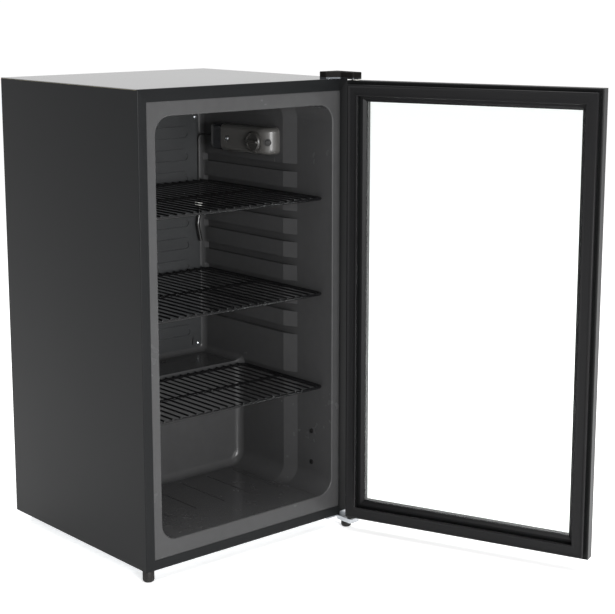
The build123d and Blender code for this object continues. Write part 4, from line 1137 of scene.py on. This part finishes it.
@dataclass
class LevellingFoot:
    """A screw-in foot with grip ribs round its skirt.

    Attributes:
        node: The CAD node and body it stands for.
        skirt_mm: Height of the moulded skirt.
        radius_mm: Radius of the skirt.
        stud_mm: Radius of the stud.
        sole_mm: Rounding of the sole.
        rib_mm: Radius of a grip rib, which also sets the skirt in by as much.
        ribs: Number of grip ribs.
    """

    node: str
    skirt_mm: float
    radius_mm: float
    stud_mm: float = 4.0
    sole_mm: float = 3.0
    rib_mm: float = 0.35
    ribs: int = 28

    def build(self, tree: bpy.types.NodeTree) -> None:
        """Turn the foot, add its ribs and hang it on its body.

        Args:
            tree: The rib ring tree.
        """
        low, high = (Vector(corner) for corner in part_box(self.node))
        centre = Vector(((low.x + high.x) / 2, (low.y + high.y) / 2, low.z))
        radius = (self.radius_mm - self.rib_mm) * MM
        skirt = self.skirt_mm * MM
        round_off = self.sole_mm * MM
        profile = [(0.0, 0.0), (radius - round_off, 0.0)]
        for step in range(1, ARC_STEPS + 1):
            angle = math.pi / 2 * step / ARC_STEPS
            profile.append((
                radius - round_off + round_off * math.sin(angle),
                round_off - round_off * math.cos(angle),
            ))
        profile += [
            (radius, skirt - 0.8 * MM), (radius - 0.3 * MM, skirt - 0.2 * MM),
            (radius - 0.9 * MM, skirt), (self.stud_mm * MM + 0.4 * MM, skirt), (0.0, skirt),
        ]
        draft = Draft()
        draft.lathe(profile, centre, (0.0, 0.0, 1.0))
        foot = draft.piece(self.node + "_skirt", BLACK_ABS, 40.0)
        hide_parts(self.node)
        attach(foot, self.node)
        grip = grow(tree, self.node + "_ribs", {
            "Radius": radius, "Rib Radius": self.rib_mm * MM,
            "Length": skirt - round_off - 1.2 * MM,
            "Count": self.ribs,
            "Place": centre + Vector((0.0, 0.0, (skirt + round_off) / 2)),
            "Material": BLACK_ABS.make(),
        })
        dress(grip, BLACK_ABS, 50.0)
        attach(grip, self.node)
        self._stud(centre, skirt, high.z)
        LOG.info("%s: %d grip ribs", self.node, self.ribs)

    def _stud(self, centre: Vector, start: float, top: float) -> None:
        """Turn the threaded stud, one ring pair for each millimetre of thread.

        Args:
            centre: Middle of the sole.
            start: Height where the stud leaves the skirt.
            top: Height of the stud's end.
        """
        pitch = 1.25 * MM
        crest = self.stud_mm * MM
        root = crest - 0.6 * MM
        profile = [(0.0, start - 0.5 * MM), (root, start - 0.5 * MM)]
        height = start
        while height + pitch < top - centre.z:
            profile += [(root, height), (crest, height + pitch / 2)]
            height += pitch
        profile += [(root, height), (0.0, top - centre.z)]
        draft = Draft()
        draft.lathe(profile, centre, (0.0, 0.0, 1.0), 32)
        stud = draft.piece(self.node + "_stud", ZINC_PLATE, 60.0)
        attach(stud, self.node)


@dataclass
class Knob:
    """The thermostat knob: a ribbed skirt, a raised rim and a grip bar that points to the setting.

    Attributes:
        radius_mm: Radius of the skirt.
        thick_mm: Height over all; not used.
        bar_mm: Width of the grip bar.
    """

    radius_mm: float = 19.0
    thick_mm: float = 9.0
    bar_mm: float = 8.0

    def build(self, tree: bpy.types.NodeTree) -> None:
        """Model the knob in its CAD node's place and hang it on its body.

        Args:
            tree: The rib ring tree.
        """
        low, high = (Vector(corner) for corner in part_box("thermostat_knob"))
        joint = next(j for j in frame["joints"] if j["name"] == "thermostat_turn")
        seat = Vector((high.x, joint["pos_m"][1], joint["pos_m"][2]))
        radius = self.radius_mm * MM
        draft = Draft()
        draft.lathe([
            (0.0, 0.0), (radius - 0.5 * MM, 0.0), (radius - 0.4 * MM, 0.6 * MM),
            (radius - 0.6 * MM, 2.6 * MM), (radius - 1.6 * MM, 3.6 * MM),
            (radius - 1.9 * MM, 4.8 * MM), (radius - 2.5 * MM, 5.2 * MM),
            (radius - 3.4 * MM, 5.0 * MM), (radius - 4.0 * MM, 3.4 * MM), (radius - 5.0 * MM, 3.0 * MM),
            (0.0, 3.0 * MM),
        ], seat, (-1.0, 0.0, 0.0), 64)
        skirt = draft.piece("knob_skirt", KNOB_ABS, 40.0)
        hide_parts("thermostat_knob")
        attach(skirt, "thermostat_knob")
        ribs = grow(tree, "knob_ribs", {
            "Radius": radius - 0.6 * MM, "Rib Radius": 0.5 * MM, "Length": 2.4 * MM, "Count": 60,
            "Place": seat + Vector((-1.4 * MM, 0.0, 0.0)),
            "Turn": (0.0, math.radians(90), 0.0), "Material": KNOB_ABS.make(),
        })
        dress(ribs, KNOB_ABS, 50.0)
        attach(ribs, "thermostat_knob")
        self._bar(seat, radius)
        LOG.info("thermostat knob: skirt, ribs, grip bar and pointer")

    def _bar(self, seat: Vector, radius: float) -> None:
        """Model the grip bar and the pointer line let into it.

        Args:
            seat: Middle of the knob's back.
            radius: Radius of the skirt.
        """
        rings = []
        for height_mm, inset_mm in ((3.0, 0.0), (7.6, 0.5), (8.6, 1.0), (9.0, 2.0)):
            half = self.bar_mm / 2 * MM - inset_mm * MM
            reach = radius - 2.0 * MM - inset_mm * MM
            ring = []
            for end in (1, -1):
                for step in range(9):
                    angle = -math.pi / 2 + math.pi * step / 8
                    y = end * (reach - half + half * math.cos(angle))
                    z = end * half * math.sin(angle)
                    ring.append(seat + Vector((-height_mm * MM, y, z)))
            rings.append(ring)
        draft = Draft()
        draft.loft(rings)
        bar = draft.piece("knob_grip_bar", KNOB_ABS, 40.0)
        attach(bar, "thermostat_knob")
        mark = Draft()
        span = (radius - 9.0 * MM, radius - 4.2 * MM)
        wide = 0.45 * MM
        rings = []
        for height in (8.8 * MM, 9.0 * MM):
            rings.append([
                seat + Vector((-height, y, z))
                for y, z in ((span[0], -wide), (span[1], -wide), (span[1], wide), (span[0], wide))
            ])
        mark.loft(rings)
        line = mark.piece("knob_pointer_line", WHITE_NYLON)
        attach(line, "thermostat_knob")


@dataclass
class Condenser:
    """Wire ranks each side of the condenser tube.

    Attributes:
        wires: Wires in each rank.
        wire_mm: Diameter of a wire.
    """

    wires: int = 24
    wire_mm: float = 1.6

    def build(self, tree: bpy.types.NodeTree) -> None:
        """Build both ranks in their CAD node's place.

        Args:
            tree: The condenser wire tree.
        """
        low, high = (Vector(corner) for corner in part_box("condenser_wires"))
        radius = self.wire_mm / 2 * MM
        step = (high.x - low.x - 2 * radius) / (self.wires - 1)
        ranks = grow(tree, "condenser_wire_ranks", {
            "Radius": radius, "Height": high.z - low.z, "Count": self.wires,
            "Start": (low.x + radius, low.y + radius, (low.z + high.z) / 2),
            "Step": (step, 0.0, 0.0), "Back": (0.0, high.y - low.y - 2 * radius, 0.0),
            "Material": BLACK_ENAMEL.make(),
        })
        dress(ranks, BLACK_ENAMEL, 50.0)
        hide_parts("condenser_wires")
        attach(ranks, "cabinet")
        LOG.info("condenser: %d wires a side", self.wires)


def dress_frame() -> None:
    """Give every CAD node its finish."""
    for name, finish in CAD_FINISHES.items():
        thing = frame["nodes"][name]
        material = finish.make()
        if not thing.material_slots:
            thing.data.materials.append(material)
        for slot in thing.material_slots:
            slot.material = material
    LOG.info("CAD nodes dressed: %d", len(CAD_FINISHES))


# ------------------------------------------------------------------ studio


@dataclass(frozen=True)
class SoftBox:
    """One square soft box.

    Attributes:
        name: The lamp's name.
        spot: Where it hangs.
        target: What it faces.
        size: Side of the square.
        watts: Its power.
    """

    name: str
    spot: tuple[float, float, float]
    target: tuple[float, float, float]
    size: float
    watts: float

    def hang(self) -> None:
        """Hang the soft box, turned to its target."""
        data = bpy.data.lights.new(self.name, "AREA")
        data.shape = "SQUARE"
        data.size = self.size
        data.energy = self.watts
        lamp = bpy.data.objects.new(self.name, data)
        lamp.location = self.spot
        facing = Vector(self.spot) - Vector(self.target)
        lamp.rotation_euler = facing.to_track_quat("Z", "Y").to_euler()
        bpy.context.scene.collection.objects.link(lamp)


@dataclass
class Studio:
    """A pale floor, soft light and the camera.

    Attributes:
        eye: Where the camera stands.
        azimuth_deg: Direction it looks from, about Z.
        elevation_deg: Height it looks from.
        focal: Focal length, in the picture's units.
        picture: Picture width and height.
        centre_y: Where the level line of sight meets the picture, from its top.
        backdrop: Brightness of the white surround as it is seen.
        fill: Brightness of the white surround as a light.
        floor_glow: Brightness of the lit floor itself, as of a light table.
        floor_reach: Distance from the middle of the floor to its sides.
        floor_drop: How far the floor's top is under the feet.
        floor_thick: Thickness of the floor.
        lamps: A key from the front, and a wide soft box overhead.
    """

    eye: tuple[float, float, float] = (-1.59475, -2.17186, 0.98261)
    azimuth_deg: float = -41.30
    elevation_deg: float = 10.702
    focal: float = 1514.7
    picture: tuple[float, float] = (615.0, 614.0)
    centre_y: float = 270.0
    backdrop: float = 1.05
    fill: float = 0.64
    floor_glow: float = 0.4
    floor_reach: float = 14.0
    floor_drop: float = 0.0005
    floor_thick: float = 0.0295
    lamps: tuple[SoftBox, ...] = (
        SoftBox("key", (-1.1, -3.9, 1.0), (0.0, 0.0, 0.45), 1.2, 150.0),
        SoftBox("overhead", (0.4, -0.2, 3.2), (0.4, -0.2, 0.0), 2.6, 110.0),
    )

    def build(self) -> None:
        """Set up camera, floor, world and lamps."""
        self._camera()
        self._floor()
        self._world()
        for lamp in self.lamps:
            lamp.hang()
        scene = bpy.context.scene
        scene.view_settings.view_transform = "Standard"
        scene.view_settings.look = "None"
        LOG.info("studio ready")

    def _camera(self) -> None:
        """Stand the camera at the viewing angle."""
        data = bpy.data.cameras.new("camera")
        data.sensor_fit = "HORIZONTAL"
        data.sensor_width = 36.0
        data.lens = 36.0 * self.focal / self.picture[0]
        data.shift_x = 0.0
        data.shift_y = -(self.picture[1] / 2 - self.centre_y) / self.picture[0]
        data.clip_start = 0.05
        data.clip_end = 60.0
        camera = bpy.data.objects.new("camera", data)
        azimuth = math.radians(self.azimuth_deg)
        elevation = math.radians(self.elevation_deg)
        back = Vector((
            math.sin(azimuth) * math.cos(elevation),
            -math.cos(azimuth) * math.cos(elevation),
            math.sin(elevation),
        ))
        camera.rotation_euler = back.to_track_quat("Z", "Y").to_euler()
        camera.location = self.eye
        bpy.context.scene.collection.objects.link(camera)
        bpy.context.scene.camera = camera

    def _floor(self) -> None:
        """Lay a wide pale floor, a hair under the feet."""
        draft = Draft()
        reach = self.floor_reach
        rings = []
        for height in (-self.floor_drop - self.floor_thick, -self.floor_drop):
            rings.append([
                (-reach, -reach, height), (reach, -reach, height),
                (reach, reach, height), (-reach, reach, height),
            ])
        draft.loft(rings)
        bmesh.ops.recalc_face_normals(draft.mesh, faces=draft.mesh.faces)
        data = bpy.data.meshes.new("studio_floor")
        draft.mesh.to_mesh(data)
        draft.mesh.free()
        floor = bpy.data.objects.new("studio_floor", data)
        bpy.context.scene.collection.objects.link(floor)
        paint = Finish(
            "studio_paint", "#fbfbfb", "#ffffff", 0.9, 0.02, Grain.FORMED, 400.0, 0.0, specular=0.1,
        )
        painted = paint.make()
        glow = painted.node_tree.nodes["Principled BSDF"]
        glow.inputs["Emission Color"].default_value = (1.0, 1.0, 1.0, 1.0)
        glow.inputs["Emission Strength"].default_value = self.floor_glow
        floor.data.materials.append(painted)

    def _world(self) -> None:
        """Surround the room with white, which lights the object less than it shows itself."""
        world = bpy.data.worlds.new("studio")
        world.use_nodes = True
        tree = world.node_tree
        sky = tree.nodes["Background"]
        sky.inputs["Color"].default_value = (1.0, 1.0, 1.0, 1.0)
        path = add_node(tree, "ShaderNodeLightPath")
        seen = add_node(
            tree, "ShaderNodeMath", None,
            {0: path.outputs["Is Camera Ray"], 1: path.outputs["Is Transmission Ray"]},
            operation="MAXIMUM",
        )
        strength = add_node(
            tree, "ShaderNodeMapRange", {1: 0.0, 2: 1.0, 3: self.fill, 4: self.backdrop},
            {0: seen.outputs[0]},
        )
        tree.links.new(strength.outputs[0], sky.inputs["Strength"])
        bpy.context.scene.world = world


def seats(node: str, axis: int, high_side: bool) -> list[Vector]:
    """Find the middles of a CAD node's separate solids, on one side of its box.

    Args:
        node: The node's name.
        axis: Which coordinate to press to the side.
        high_side: Press to the high side rather than the low.

    Returns:
        One point for each solid.
    """
    copy = bmesh.new()
    copy.from_mesh(frame["nodes"][node].data)
    bmesh.ops.remove_doubles(copy, verts=copy.verts, dist=1e-6)
    left = set(copy.verts)
    found = []
    while left:
        island, edge = set(), [left.pop()]
        while edge:
            vert = edge.pop()
            island.add(vert)
            for link in vert.link_edges:
                other = link.other_vert(vert)
                if other in left:
                    left.remove(other)
                    edge.append(other)
        low = Vector([min(v.co[i] for v in island) for i in range(3)])
        high = Vector([max(v.co[i] for v in island) for i in range(3)])
        point = (low + high) / 2
        point[axis] = high[axis] if high_side else low[axis]
        found.append(point)
    copy.free()
    return found


def main() -> None:
    """Build the whole merchandiser, piece by piece."""
    logging.basicConfig(level=logging.INFO, format="%(message)s")
    Studio().build()
    dress_frame()
    Wrapper().build()
    racks = rack_tree()
    for name in ("shelf_top", "shelf_middle", "shelf_bottom"):
        Shelf(name).build(racks)
    ribs = ribs_tree()
    LevellingFoot("front_left_foot", 18.6, 10.0).build(ribs)
    LevellingFoot("front_right_foot", 10.5, 9.3).build(ribs)
    Knob().build(ribs)
    Condenser().build(lines_tree())
    Gasket(DoorPlace()).build()
    fasteners = fastener_tree()
    screws = Fasteners()
    up = (0.0, 0.0, 0.0)
    forward = (math.radians(90), 0.0, 0.0)
    under = (math.radians(180), 0.0, 0.0)
    rise = screws.height_mm * MM
    tops = [point - Vector((0.0, 0.0, rise)) for point in seats("top_hinge_screws", 2, True)]
    screws.place(fasteners, "hinge_screw_heads", "cabinet", tops, up, ["top_hinge_screws"])
    fronts = [point + Vector((0.0, rise, 0.0)) for point in seats("evaporator_screws", 1, False)]
    screws.place(fasteners, "plate_screw_heads", "cabinet", fronts, forward, ["evaporator_screws"])
    lows = [point + Vector((0.0, 0.0, rise)) for point in seats("bottom_hinge_screws", 2, False)]
    screws.place(fasteners, "under_screw_heads", "cabinet", lows, under, ["bottom_hinge_screws"])
    bpy.context.view_layer.update()


if __name__ == "__main__":
    main()
